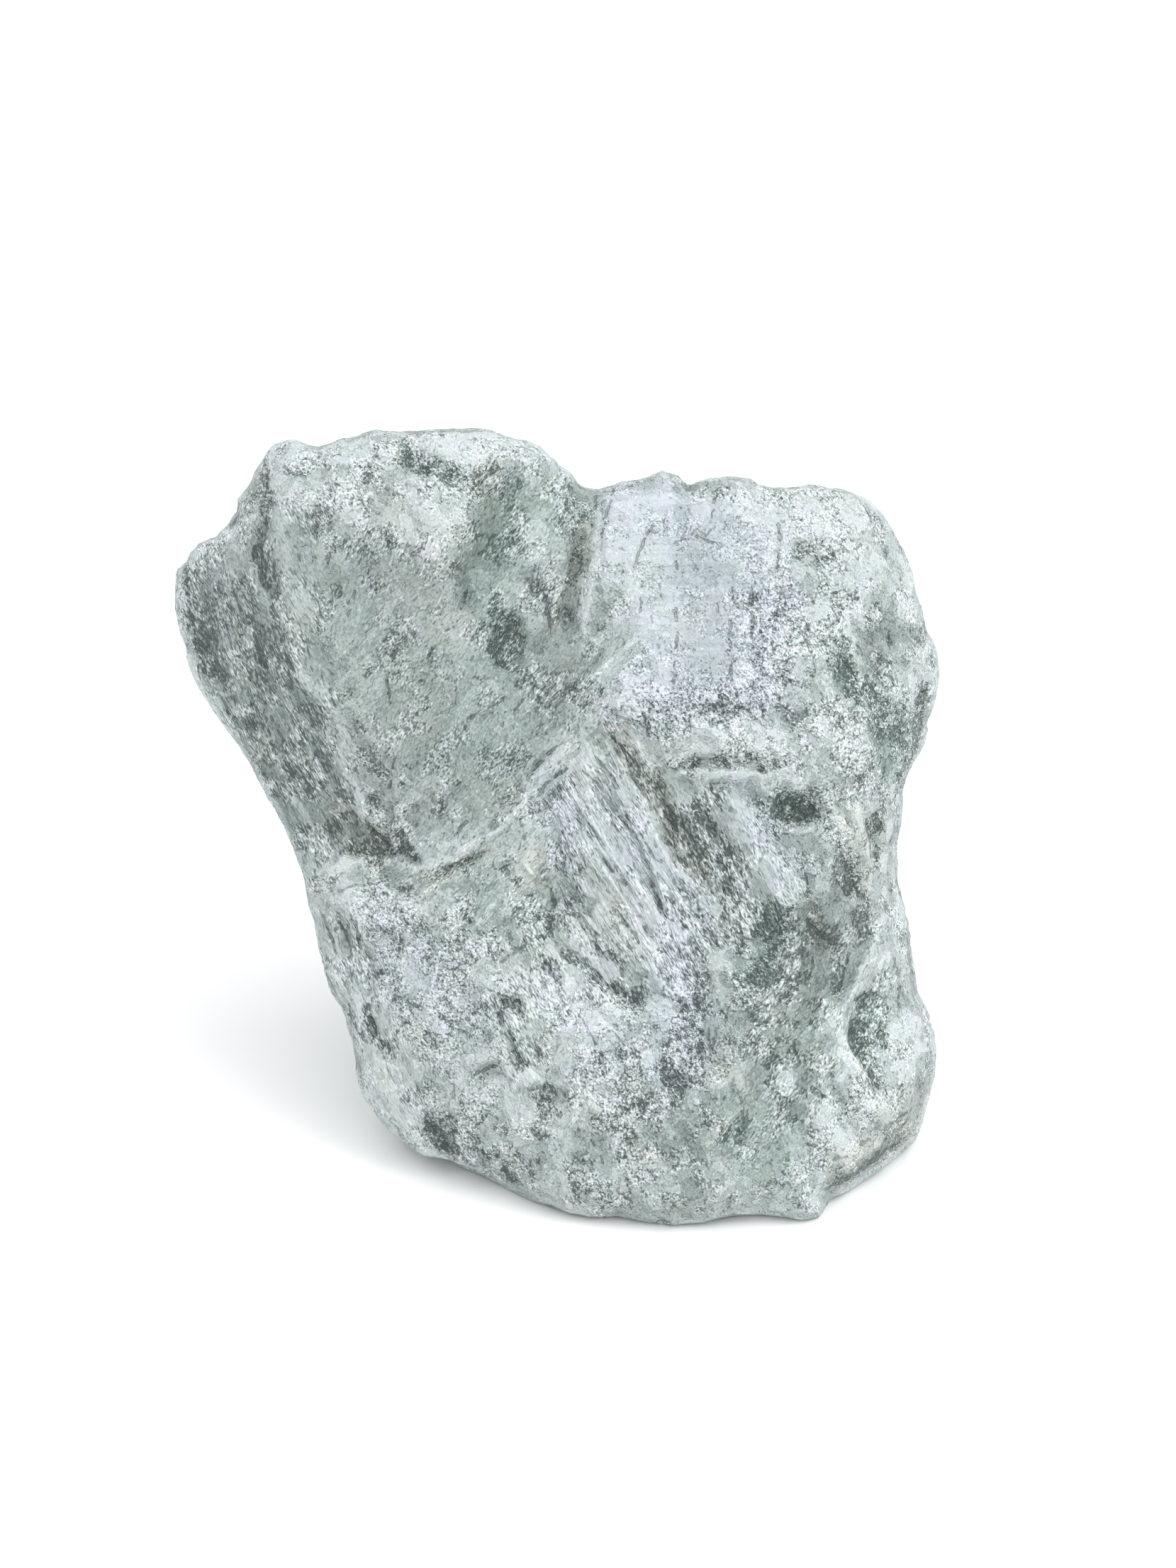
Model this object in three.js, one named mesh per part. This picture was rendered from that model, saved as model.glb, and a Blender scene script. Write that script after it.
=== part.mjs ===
import * as THREE from 'three';

// Raw soapstone boulder: one solid, irregular, quarried block. Millimetres, +Z up, -Y the worked front.
// The front relief is laid out on a chart seen square-on from a pole in front of and above the block:
// chart x runs to the right, chart y runs down, and depth is measured along the chart axis, away from the pole.

// ---- driving dimensions ----
const CHART_TILT_DEG = 20;      // the chart axis dips this much below the horizontal
const POLE_DISTANCE = 900;      // mm from the pole to the depth-zero plane
const CHART_PER_MM = 3.92;      // chart units per millimetre on the depth-zero plane
const CHART_AXIS_X = 829.5;     // chart position of the axis
const CHART_AXIS_Y = 1106;
const HEART_X = 815, HEART_Y = 1165, HEART_DEPTH = 120;  // heart of the block, from which the skin is measured
const REST_LEVEL = -161.6;      // height of the resting face before the origin is moved onto it
const BACK_THICKNESS = 118;     // how far the hidden half bellies out behind the widest outline
const FOOT_THICKNESS = 48;      // extra belly towards the foot
const FRONT_DENSITY = 0.5;      // how much closer the skin points sit on the worked front
const SKIN_DETAIL = 20;         // subdivisions of each of the twenty skin fields
const CELL = 4;                 // chart units per relief cell
const ORIGIN_SHIFT = [13, -74.89];    // moves the middle of the block's footprint box onto the origin

// ---- widest outline seen along the chart axis, clockwise from the upper-left notch ----
const OUTLINE = [
  [450, 631], [466, 625], [481, 618], [506, 614], [531, 606], [550, 608], [580, 606], [610, 604],
  [640, 602], [660, 601], [682, 601], [699, 605], [719, 611], [744, 616], [764, 626], [784, 644],
  [794, 655], [809, 662], [815, 672], [826, 683], [841, 687], [856, 684], [886, 677], [908, 671],
  [928, 661], [935, 659], [956, 667], [972, 682], [1000, 675], [1029, 671], [1055, 673], [1076, 680],
  [1100, 683], [1123, 680], [1144, 680], [1165, 684], [1181, 686], [1202, 693], [1231, 704], [1248, 721],
  [1257, 739], [1270, 760], [1282, 776], [1288, 794], [1296, 815], [1306, 841], [1313, 870], [1317, 888],
  [1325, 899], [1330, 917], [1330, 946], [1325, 972], [1318, 998], [1307, 1021], [1309, 1030], [1306, 1045],
  [1297, 1067], [1288, 1087], [1282, 1100], [1279, 1117], [1275, 1143], [1272, 1171], [1264, 1195], [1266, 1215],
  [1266, 1243], [1272, 1269], [1282, 1303], [1289, 1338], [1292, 1361], [1296, 1399], [1306, 1417], [1317, 1444],
  [1323, 1481], [1322, 1512], [1313, 1550], [1306, 1585], [1292, 1612], [1265, 1635], [1230, 1659], [1196, 1681],
  [1172, 1690], [1165, 1704], [1156, 1718], [1134, 1723], [1103, 1717], [1069, 1713], [1027, 1716], [989, 1726],
  [948, 1729], [900, 1723], [872, 1716], [834, 1718], [800, 1712], [770, 1700], [749, 1694], [721, 1680],
  [693, 1665], [655, 1649], [632, 1635], [601, 1629], [575, 1615], [550, 1596], [530, 1575], [514, 1552],
  [504, 1522], [500, 1494], [492, 1463], [481, 1435], [467, 1402], [455, 1374], [447, 1343], [440, 1300],
  [433, 1276], [428, 1243], [415, 1215], [402, 1177], [389, 1146], [371, 1118], [348, 1075], [333, 1049],
  [300, 1003], [280, 970], [265, 936], [262, 916], [252, 897], [247, 861], [249, 829], [252, 804],
  [262, 791], [265, 779], [275, 764], [297, 752], [312, 737], [328, 717], [331, 699], [344, 686],
  [354, 665], [368, 644], [384, 625], [414, 616],
];

// outline x, y, depth of the turning line, rounding radius in mm
const TURN = [
  [450, 631, 56, 18], [600, 606, 50, 20], [700, 606, 50, 18], [784, 644, 54, 16],
  [841, 687, 62, 10], [928, 661, 50, 14], [1029, 671, 50, 14], [1123, 680, 52, 16],
  [1202, 695, 58, 20], [1270, 760, 66, 24], [1313, 870, 72, 26], [1330, 930, 76, 24],
  [1309, 1030, 76, 16], [1275, 1143, 70, 18], [1266, 1230, 70, 18], [1292, 1361, 70, 18],
  [1323, 1490, 70, 24], [1292, 1612, 68, 24], [1196, 1681, 46, 16], [1150, 1720, 29, 12],
  [1027, 1716, 26, 13], [948, 1729, 24, 13], [834, 1718, 28, 15], [749, 1694, 40, 18],
  [655, 1649, 56, 24], [575, 1615, 66, 28], [514, 1552, 72, 28], [492, 1463, 70, 24],
  [455, 1374, 70, 22], [428, 1243, 76, 18], [371, 1118, 84, 18], [280, 970, 90, 20],
  [247, 861, 92, 22], [265, 779, 88, 20], [331, 699, 76, 18], [384, 625, 66, 18],
];

// relief lines: [crisp 1 or soft 0, x, y, depth, x, y, depth, ...]
const RELIEF = [
  [0, 400, 672, 44, 455, 700, 36, 520, 722, 31, 585, 742, 29, 640, 775, 29],
  [1, 384, 655, 50, 386, 700, 46, 394, 770, 44, 404, 850, 43, 410, 925, 45],
  [1, 410, 948, 46, 447, 1008, 51, 478, 1092, 56, 512, 1150, 60],
  [1, 401, 950, 50, 436, 1012, 55.5, 466, 1092, 60.5, 496, 1150, 64],
  [0, 350, 700, 58, 338, 820, 61, 350, 920, 64, 384, 1020, 67, 424, 1110, 69, 450, 1185, 70],
  [1, 298, 800, 69, 292, 870, 73, 306, 955, 74],
  [0, 270, 800, 79, 268, 860, 82, 276, 920, 82],
  [1, 452, 1222, 64, 468, 1196, 64.5, 505, 1198, 64, 545, 1206, 62, 592, 1222, 57],
  [1, 592, 1222, 57, 640, 1197, 53.5, 700, 1166, 48.3, 745, 1112, 43, 790, 1060, 38, 812, 1005, 34, 830, 965, 33],
  [1, 448, 1256, 60.5, 466, 1238, 57.8, 500, 1236, 57, 545, 1240, 56, 592, 1240, 55],
  [1, 592, 1240, 55, 645, 1216, 52, 705, 1184, 47, 752, 1128, 42.3, 796, 1076, 38.3],
  [0, 470, 1285, 53, 530, 1285, 46, 590, 1275, 44, 650, 1262, 43, 705, 1225, 40],
  [0, 500, 800, 35, 520, 950, 43, 555, 1080, 51, 575, 1150, 56],
  [0, 640, 850, 32, 680, 1000, 41, 690, 1080, 47],
  [1, 704, 655, 32, 676, 700, 30.8, 656, 745, 31.6, 646, 785, 33.3],
  [1, 722, 664, 39.1, 696, 712, 39, 672, 755, 38.8, 660, 795, 38.5],
  [0, 690, 830, 40.1, 710, 890, 45.2, 712, 935, 45],
  [0, 765, 680, 42.4, 775, 760, 37.8, 768, 850, 38.4, 772, 930, 39.9],
  [1, 836, 700, 49.8, 822, 760, 43.8, 812, 820, 39.9, 802, 880, 39],
  [0, 800, 900, 39.3, 800, 950, 38.2],
  [1, 858, 700, 44.8, 852, 760, 37.8, 848, 825, 32],
  [1, 917, 884, 22, 880, 912, 25.5, 850, 935, 28, 824, 968, 31.5],
  [1, 853, 893, 31.2, 838, 940, 33],
  [0, 1110, 700, 43.8, 1115, 780, 34.2, 1112, 860, 27.6, 1110, 960, 21.4],
  [0, 955, 695, 45.7, 955, 800, 34.6, 955, 900, 25.3, 950, 965, 20.5],
  [0, 870, 975, 25.7, 950, 980, 20.8, 1050, 975, 18.7, 1110, 968, 20.5],
  [0, 838, 1010, 29.3, 880, 1018, 26.4, 950, 1045, 22.9, 1050, 1060, 19.2, 1110, 1060, 21.2],
  [0, 1170, 760, 40.8, 1185, 850, 32.4, 1195, 950, 28.2, 1200, 1050, 26],
  [0, 1255, 800, 48.6, 1275, 900, 49.3, 1285, 980, 50.8, 1275, 1060, 50.2],
  [1, 852, 1024, 33.5, 898, 1088, 34.5, 936, 1145, 36, 953, 1200, 37.5, 978, 1228, 36, 1018, 1260, 33],
  [0, 1018, 1260, 35, 1032, 1300, 30],
  [1, 882, 1026, 29, 928, 1085, 29, 958, 1120, 29, 985, 1140, 29],
  [0, 832, 1050, 34, 884, 1112, 34, 918, 1168, 33, 935, 1215, 30],
  [0, 812, 1100, 34.9, 855, 1170, 33.1, 890, 1250, 28.6, 925, 1320, 24.8, 960, 1380, 21.9],
  [1, 768, 1205, 40.5, 764, 1245, 41, 774, 1275, 39, 786, 1310, 35.5],
  [0, 786, 1310, 36.6, 830, 1355, 31.4, 880, 1400, 27.2],
  [0, 748, 1200, 40.5, 742, 1260, 39.5, 752, 1300, 36.8],
  [1, 1030, 1128, 26, 1075, 1200, 24, 1125, 1272, 21],
  [1, 1050, 1130, 25, 1090, 1190, 23, 1136, 1262, 21],
  [1, 1066, 1124, 30, 1104, 1184, 28, 1150, 1256, 25],
  [0, 1004, 1165, 33, 1040, 1230, 29, 1075, 1290, 25],
  [0, 1095, 1142, 31.6, 1125, 1137, 32.5, 1155, 1130, 29.4],
  [0, 1100, 1100, 22.9, 1150, 1100, 21.9, 1190, 1085, 23.6],
  [0, 1165, 1155, 24.9, 1205, 1170, 26.1],
  [0, 1180, 1235, 35.3, 1205, 1232, 37.2, 1192, 1262, 35.8],
  [0, 1238, 1155, 39.9, 1239, 1200, 42.7],
  [0, 1260, 1120, 43.2, 1257, 1200, 48.7, 1260, 1280, 49.1, 1270, 1360, 48.5],
  [0, 1155, 1300, 30.4, 1188, 1310, 33.6, 1183, 1345, 32.2],
  [1, 1238, 1345, 33.2, 1212, 1390, 27, 1197, 1435, 22.8, 1190, 1462, 20.3, 1204, 1500, 20, 1216, 1530, 20],
  [1, 1250, 1352, 41.4, 1224, 1400, 35.2, 1210, 1438, 32.9, 1206, 1466, 30.4, 1220, 1500, 28, 1232, 1535, 25],
  [0, 1282, 1430, 42.8, 1288, 1490, 39.8, 1272, 1560, 34],
  [0, 1000, 1340, 24.2, 1000, 1450, 19.1, 990, 1550, 14, 985, 1650, 12],
  [0, 1090, 1330, 25, 1100, 1430, 19.8, 1100, 1530, 15, 1090, 1640, 13],
  [0, 1160, 1400, 23.2, 1155, 1480, 18.6, 1165, 1560, 17, 1150, 1640, 17],
  [0, 1285, 1570, 40, 1240, 1612, 32, 1195, 1645, 26, 1162, 1675, 21],
  [0, 480, 1340, 59.2, 512, 1420, 52.6, 548, 1500, 48, 580, 1560, 47],
  [0, 565, 1340, 43.2, 592, 1420, 37.6, 612, 1500, 35, 630, 1570, 37],
  [0, 660, 1310, 37.6, 680, 1400, 30.2, 690, 1500, 27, 700, 1600, 28],
  [0, 742, 1350, 32.3, 770, 1430, 24.8, 790, 1530, 20, 800, 1630, 19],
  [0, 860, 1430, 22.8, 880, 1530, 16, 890, 1640, 14],
];

// chips, folds and grooves: [height mm (+ sinks, - rises), half width left, half width right, x, y, x, y, ...]
const STROKES = [
  [3.5, 16, 16, 372, 650, 384, 690, 376, 740, 362, 772, 372, 802, 386, 832],
  [2.5, 14, 14, 295, 800, 286, 850, 284, 900, 298, 950],
  [-2.5, 14, 14, 300, 752, 340, 735, 367, 722],
  [3, 14, 10, 360, 890, 368, 930, 380, 960],
  [2.6, 26, 26, 485, 1165, 510, 1180, 530, 1185],
  [2, 14, 18, 512, 1150, 540, 1190, 572, 1206],
  [2.5, 10, 8, 608, 1242, 640, 1224, 686, 1204],
  [3.5, 34, 30, 715, 868, 718, 900, 705, 940],
  [3, 30, 30, 560, 640, 600, 655, 660, 665],
  [-2, 30, 14, 560, 690, 600, 720, 620, 745],
  [3, 18, 14, 655, 760, 640, 800, 665, 850, 675, 905],
  [2, 20, 20, 740, 800, 760, 840],
  [2.5, 10, 14, 822, 745, 815, 800, 806, 850, 800, 892],
  [-1.5, 12, 10, 838, 760, 832, 830, 822, 880, 815, 930],
  [2, 9, 7, 955, 1080, 1000, 1076, 1050, 1079, 1098, 1085],
  [-0.9, 6, 7, 960, 1091, 1010, 1090, 1060, 1093, 1110, 1094],
  [2.2, 14, 14, 980, 1010, 1005, 999, 1040, 1004],
  [2, 26, 26, 1120, 790, 1150, 780, 1175, 795],
  [2.5, 20, 24, 1185, 910, 1195, 950, 1190, 960],
  [2.5, 24, 24, 1215, 965, 1250, 990, 1240, 1040, 1280, 1030],
  [4, 14, 10, 1303, 960, 1300, 1010, 1296, 1050, 1288, 1085],
  [4.5, 34, 28, 1090, 1135, 1125, 1142, 1160, 1128],
  [3.5, 20, 20, 1205, 1215, 1198, 1245, 1180, 1262],
  [4, 14, 16, 1240, 1150, 1236, 1185, 1238, 1212],
  [3, 26, 26, 1085, 1300, 1075, 1340],
  [3, 26, 26, 1165, 1310, 1175, 1345],
  [-1.8, 12, 12, 1145, 1120, 1185, 1160, 1215, 1180],
  [2.5, 12, 14, 1018, 1255, 1030, 1285, 1022, 1320],
  [2.6, 16, 16, 480, 1290, 490, 1320, 480, 1345],
  [3, 12, 16, 518, 1422, 530, 1460, 548, 1488],
  [3.2, 20, 20, 605, 1580, 620, 1605, 635, 1630],
  [2, 18, 18, 675, 1515, 700, 1505],
  [2, 16, 20, 755, 1540, 785, 1545],
  [2, 20, 20, 705, 1415, 735, 1415],
  [2.2, 12, 12, 768, 1358, 780, 1382],
  [-2.2, 12, 16, 682, 1428, 702, 1450, 712, 1485, 732, 1522],
  [2.6, 12, 10, 706, 1445, 718, 1475, 735, 1505],
  [2.2, 14, 12, 870, 1398, 895, 1418, 905, 1408],
  [2, 18, 20, 940, 1510, 960, 1540],
  [-1.8, 9, 9, 940, 1390, 975, 1410],
  [2, 14, 12, 993, 1345, 1000, 1420, 992, 1500],
  [-1.6, 14, 14, 1095, 1520, 1120, 1548, 1150, 1560],
  [2, 14, 14, 1165, 1520, 1185, 1555, 1195, 1575],
  [-2.4, 30, 24, 1200, 1545, 1245, 1570],
  [-2, 26, 22, 1160, 1600, 1195, 1625],
  [3, 16, 14, 1300, 1600, 1250, 1650, 1185, 1692],
  [2.2, 12, 12, 1040, 1580, 1050, 1610],
  [2, 12, 12, 900, 1215, 920, 1255, 932, 1290],
  [2, 10, 10, 948, 1225, 975, 1270, 1000, 1305],
  [1.6, 10, 10, 828, 1060, 868, 1140, 900, 1196],
  [1.6, 10, 10, 912, 1305, 928, 1330, 948, 1352],
  [1, 18, 18, 760, 1232, 772, 1250],
  [2, 12, 12, 800, 1255, 836, 1300],
  [2.2, 12, 10, 800, 1335, 840, 1380, 880, 1405],
];

// plain outline the hidden side is built on
const BACK_OUTLINE = [
  [402, 614], [560, 600], [760, 612], [1000, 656], [1190, 684], [1285, 785], [1334, 930], [1300, 1110],
  [1290, 1280], [1327, 1480], [1300, 1612], [1160, 1718], [950, 1732], [700, 1674], [520, 1572], [478, 1440],
  [418, 1240], [288, 995], [244, 850], [292, 742], [362, 640],
];

// flats of the hidden side: [bearing deg from the back, lift deg, distance mm from the heart]
const BACK_FLATS = [
  [2, -4, 84], [27, 12, 104], [-24, 10, 128],
  [50, 4, 121], [-50, -4, 142], [4, 34, 102],
  [-30, 38, 156], [38, 36, 139], [16, -30, 112],
  [-28, -30, 112], [62, -30, 134], [-66, -34, 104],
  [0, 58, 140],
];

const tilt = CHART_TILT_DEG * Math.PI / 180;
const COS = Math.cos(tilt), SIN = Math.sin(tilt);
const FOCAL = POLE_DISTANCE * CHART_PER_MM;
const GX0 = 228, GY0 = 584, GX1 = 1348, GY1 = 1748;
const NX = (GX1 - GX0) / CELL + 1, NY = (GY1 - GY0) / CELL + 1;

// ---- relief field: a membrane stretched over the relief lines, coarse to fine ----
function drawLines(lines, step, onlyCrisp) {
  const nx = Math.floor((GX1 - GX0) / step) + 1, ny = Math.floor((GY1 - GY0) / step) + 1;
  const sum = new Float64Array(nx * ny), count = new Float64Array(nx * ny);
  for (const line of lines) {
    if (onlyCrisp && !line[0]) continue;
    for (let a = 1; a + 5 < line.length; a += 3) {
      const dx = line[a + 3] - line[a], dy = line[a + 4] - line[a + 1], dd = line[a + 5] - line[a + 2];
      const n = Math.floor(Math.max(Math.abs(dx), Math.abs(dy)) / (step * 0.5)) + 1;
      for (let s = 0; s <= n; s++) {
        const t = s / n;
        const i = Math.floor((line[a] + dx * t - GX0) / step + 0.5), j = Math.floor((line[a + 1] + dy * t - GY0) / step + 0.5);
        if (i < 0 || j < 0 || i >= nx || j >= ny) continue;
        sum[j * nx + i] += line[a + 2] + dd * t;
        count[j * nx + i] += 1;
      }
    }
  }
  return { nx, ny, sum, count };
}

function settle(field, nx, ny, grid, rounds) {
  let now = grid, next = new Float64Array(nx * ny);
  for (let r = 0; r < rounds; r++) {
    for (let j = 0; j < ny; j++) {
      const up = j > 0 ? -nx : 0, down = j < ny - 1 ? nx : 0;
      for (let i = 0; i < nx; i++) {
        const k = j * nx + i;
        next[k] = field.count[k] > 0 ? field.sum[k] / field.count[k]
          : 0.25 * (now[k + up] + now[k + down] + now[i > 0 ? k - 1 : k] + now[i < nx - 1 ? k + 1 : k]);
      }
    }
    [now, next] = [next, now];
  }
  return now;
}

function stretch(lines, release) {
  let grid = null, gnx = 0, gny = 0, last = 0;
  for (const step of [32, 16, 8, CELL]) {
    const field = drawLines(lines, step, false);
    const { nx, ny } = field;
    const start = new Float64Array(nx * ny);
    if (!grid) {
      let total = 0, many = 0;
      for (let k = 0; k < nx * ny; k++) if (field.count[k] > 0) { total += field.sum[k] / field.count[k]; many++; }
      start.fill(total / many);
    } else {
      for (let j = 0; j < ny; j++) {
        const y = Math.min(j * step / last, gny - 1.001), y0 = Math.floor(y), fy = y - y0;
        for (let i = 0; i < nx; i++) {
          const x = Math.min(i * step / last, gnx - 1.001), x0 = Math.floor(x), fx = x - x0, k = y0 * gnx + x0;
          start[j * nx + i] = (grid[k] * (1 - fx) + grid[k + 1] * fx) * (1 - fy) + (grid[k + gnx] * (1 - fx) + grid[k + gnx + 1] * fx) * fy;
        }
      }
    }
    grid = settle(field, nx, ny, start, 300);
    gnx = nx; gny = ny; last = step;
  }
  if (release) grid = settle(drawLines(lines, CELL, true), NX, NY, grid, release);
  return grid;
}

function soften(grid, rounds) {
  let now = grid;
  for (let r = 0; r < rounds; r++) {
    const next = new Float64Array(now.length);
    for (let j = 0; j < NY; j++) for (let i = 0; i < NX; i++) {
      let total = 0;
      for (let b = -1; b <= 1; b++) for (let a = -1; a <= 1; a++) {
        const x = Math.min(NX - 1, Math.max(0, i + a)), y = Math.min(NY - 1, Math.max(0, j + b));
        total += now[y * NX + x] * (a ? 1 : 2) * (b ? 1 : 2);
      }
      next[j * NX + i] = total / 16;
    }
    now = next;
  }
  return now;
}

// ---- outline: signed distance in mm, positive inside ----
function edgeDistance(ring) {
  const out = new Float64Array(NX * NY), n = ring.length;
  for (let j = 0; j < NY; j++) for (let i = 0; i < NX; i++) {
    const x = GX0 + i * CELL, y = GY0 + j * CELL;
    let best = 1e18, inside = false;
    for (let a = 0; a < n; a++) {
      const [px, py] = ring[a], [qx, qy] = ring[(a + 1) % n];
      const dx = qx - px, dy = qy - py;
      const t = Math.min(1, Math.max(0, ((x - px) * dx + (y - py) * dy) / (dx * dx + dy * dy)));
      const ex = px + dx * t - x, ey = py + dy * t - y;
      best = Math.min(best, ex * ex + ey * ey);
      if ((py > y) !== (qy > y) && x < (qx - px) * (y - py) / (qy - py) + px) inside = !inside;
    }
    out[j * NX + i] = Math.sqrt(best) / 3.6 * (inside ? 1 : -1);
  }
  return out;
}

// turning depth and rounding radius, spread along the outline
function turnLines() {
  const n = OUTLINE.length, along = [0];
  for (let a = 0; a < n; a++) {
    const [px, py] = OUTLINE[a], [qx, qy] = OUTLINE[(a + 1) % n];
    along.push(along[a] + Math.hypot(qx - px, qy - py));
  }
  const whole = along[n];
  const marks = TURN.map(([x, y, w, r]) => {
    let k = 0, best = 1e18;
    for (let a = 0; a < n; a++) {
      const d = (OUTLINE[a][0] - x) ** 2 + (OUTLINE[a][1] - y) ** 2;
      if (d < best) { best = d; k = a; }
    }
    return [along[k], w, r];
  }).sort((p, q) => p[0] - q[0]);
  const depth = [0], round = [0];
  for (let a = 0; a <= n; a++) {
    const s = a < n ? along[a] : 0;
    let k = marks.length - 1;
    for (let m = 0; m < marks.length; m++) if (marks[m][0] <= s) k = m;
    if (s < marks[0][0]) k = marks.length - 1;
    const p = marks[k], q = marks[(k + 1) % marks.length];
    let span = q[0] - p[0]; if (span <= 0) span += whole;
    let t = s - p[0]; if (t < 0) t += whole;
    t /= span;
    const [x, y] = OUTLINE[a % n];
    depth.push(x, y, p[1] + (q[1] - p[1]) * t);
    round.push(x, y, p[2] + (q[2] - p[2]) * t);
  }
  depth[0] = 1; round[0] = 1;
  return { depth, round };
}

// ---- chips, folds and grooves added to the relief ----
function strokeField() {
  const out = new Float64Array(NX * NY);
  for (const stroke of STROKES) {
    const height = stroke[0], left = stroke[1], right = stroke[2];
    const reach = Math.max(left, right), pts = [];
    for (let a = 3; a < stroke.length; a += 2) pts.push([stroke[a], stroke[a + 1]]);
    const xs = pts.map((p) => p[0]), ys = pts.map((p) => p[1]);
    const i0 = Math.max(0, Math.floor((Math.min(...xs) - reach - GX0) / CELL)), i1 = Math.min(NX - 1, Math.ceil((Math.max(...xs) + reach - GX0) / CELL));
    const j0 = Math.max(0, Math.floor((Math.min(...ys) - reach - GY0) / CELL)), j1 = Math.min(NY - 1, Math.ceil((Math.max(...ys) + reach - GY0) / CELL));
    for (let j = j0; j <= j1; j++) for (let i = i0; i <= i1; i++) {
      const x = GX0 + i * CELL, y = GY0 + j * CELL;
      let best = 1e18, side = 1, where = 0;
      for (let a = 0; a < pts.length - 1; a++) {
        const [px, py] = pts[a], dx = pts[a + 1][0] - px, dy = pts[a + 1][1] - py;
        const t = Math.min(1, Math.max(0, ((x - px) * dx + (y - py) * dy) / (dx * dx + dy * dy)));
        const ex = px + dx * t - x, ey = py + dy * t - y, d = ex * ex + ey * ey;
        if (d < best) { best = d; side = dx * (y - py) - dy * (x - px) > 0 ? 1 : -1; where = (a + t) / (pts.length - 1); }
      }
      const q = Math.sqrt(best) / (side > 0 ? right : left);
      if (q < 1) out[j * NX + i] += height * (1 - q) * (1 - q) * (1 + 2 * q) * Math.sqrt(Math.min(1, 4 * Math.min(where, 1 - where) + 0.12));
    }
  }
  return out;
}

// ---- repeatable lattice noise ----
function lattice(i, j, k) {
  let h = Math.imul(i | 0, 0x27d4eb2d) ^ Math.imul(j | 0, 0x165667b1) ^ Math.imul(k | 0, 0x9e3779b1);
  h = Math.imul(h ^ (h >>> 15), 0x85ebca6b);
  h = Math.imul(h ^ (h >>> 13), 0xc2b2ae35);
  return ((h ^ (h >>> 16)) >>> 0) / 4294967296;
}

function swell(x, y, z) {
  const i = Math.floor(x), j = Math.floor(y), k = Math.floor(z);
  const fade = (t) => t * t * t * (t * (t * 6 - 15) + 10);
  const u = fade(x - i), v = fade(y - j), w = fade(z - k);
  let total = 0;
  for (let c = 0; c < 8; c++) {
    const a = c & 1, b = (c >> 1) & 1, d = c >> 2;
    total += lattice(i + a, j + b, k + d) * (a ? u : 1 - u) * (b ? v : 1 - v) * (d ? w : 1 - w);
  }
  return total * 2 - 1;
}

// shallow scoops meeting in low ridges, 0 in a scoop and about 1 on a ridge
function scoops(x, y, z, seed) {
  const i = Math.floor(x), j = Math.floor(y), k = Math.floor(z);
  let best = 9;
  for (let c = -1; c <= 1; c++) for (let b = -1; b <= 1; b++) for (let a = -1; a <= 1; a++) {
    const p = i + a, q = j + b, r = k + c;
    const dx = p + lattice(p, q, r + seed) - x, dy = q + lattice(p, q, r + seed + 57) - y, dz = r + lattice(p, q, r + seed + 113) - z;
    best = Math.min(best, dx * dx + dy * dy + dz * dz);
  }
  return Math.min(1, best);
}

// ---- the block ----
const turn = turnLines();
const turnDepth = stretch([turn.depth], 0);
const turnRound = stretch([turn.round], 0);
const edge = edgeDistance(OUTLINE), plainEdge = edgeDistance(BACK_OUTLINE);
const bareTurn = turn.depth.map((v, a) => (a > 0 && a % 3 === 0 ? v - turn.round[a] : v));
const membrane = soften(stretch([...RELIEF, bareTurn], 60), 2);
const strokes = soften(strokeField(), 1);
const front = new Float64Array(NX * NY), back = new Float64Array(NX * NY);
for (let k = 0; k < NX * NY; k++) {
  const d = edge[k];
  if (d <= 0) {
    front[k] = turnDepth[k] - 12 * d;
    back[k] = turnDepth[k] + 12 * d;
    continue;
  }
  const q = Math.max(0, 1 - d / turnRound[k]);
  front[k] = membrane[k] + strokes[k] * Math.min(1, d / 6) + turnRound[k] * (1 - Math.sqrt(Math.max(0, 1 - q * q)));
  const m = Math.min(1, d / 18), plain = d + (Math.max(plainEdge[k], 0.6 * d) - d) * m * m * (3 - 2 * m);
  const s = Math.max(0, 1 - plain / 125);
  const low = Math.min(1, Math.max(0, (GY0 + Math.floor(k / NX) * CELL - 1050) / 600));
  back[k] = turnDepth[k] + (BACK_THICKNESS + FOOT_THICKNESS * low * low * (3 - 2 * low)) * Math.sqrt(Math.max(0, 1 - s * s));
}

function sample(grid, cx, cy) {
  const x = Math.min(NX - 1.001, Math.max(0, (cx - GX0) / CELL)), y = Math.min(NY - 1.001, Math.max(0, (cy - GY0) / CELL));
  const i = Math.floor(x), j = Math.floor(y), fx = x - i, fy = y - j, k = j * NX + i;
  return (grid[k] * (1 - fx) + grid[k + 1] * fx) * (1 - fy) + (grid[k + NX] * (1 - fx) + grid[k + NX + 1] * fx) * fy;
}

// chart axes in the block's frame: across, up, away
const heart = { x: (HEART_X - CHART_AXIS_X) * (POLE_DISTANCE + HEART_DEPTH) / FOCAL, y: -(HEART_Y - CHART_AXIS_Y) * (POLE_DISTANCE + HEART_DEPTH) / FOCAL, w: HEART_DEPTH };
const toWorld = (x, y, w) => [x, y * SIN + w * COS, y * COS - w * SIN];
const flats = BACK_FLATS.map(([bearing, lift, distance]) => {
  const b = bearing * Math.PI / 180, l = lift * Math.PI / 180;
  return [Math.sin(b) * Math.cos(l), Math.cos(b) * Math.cos(l), Math.sin(l), distance];
});
const [hx, hy, hz] = toWorld(heart.x, heart.y, heart.w);

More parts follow.
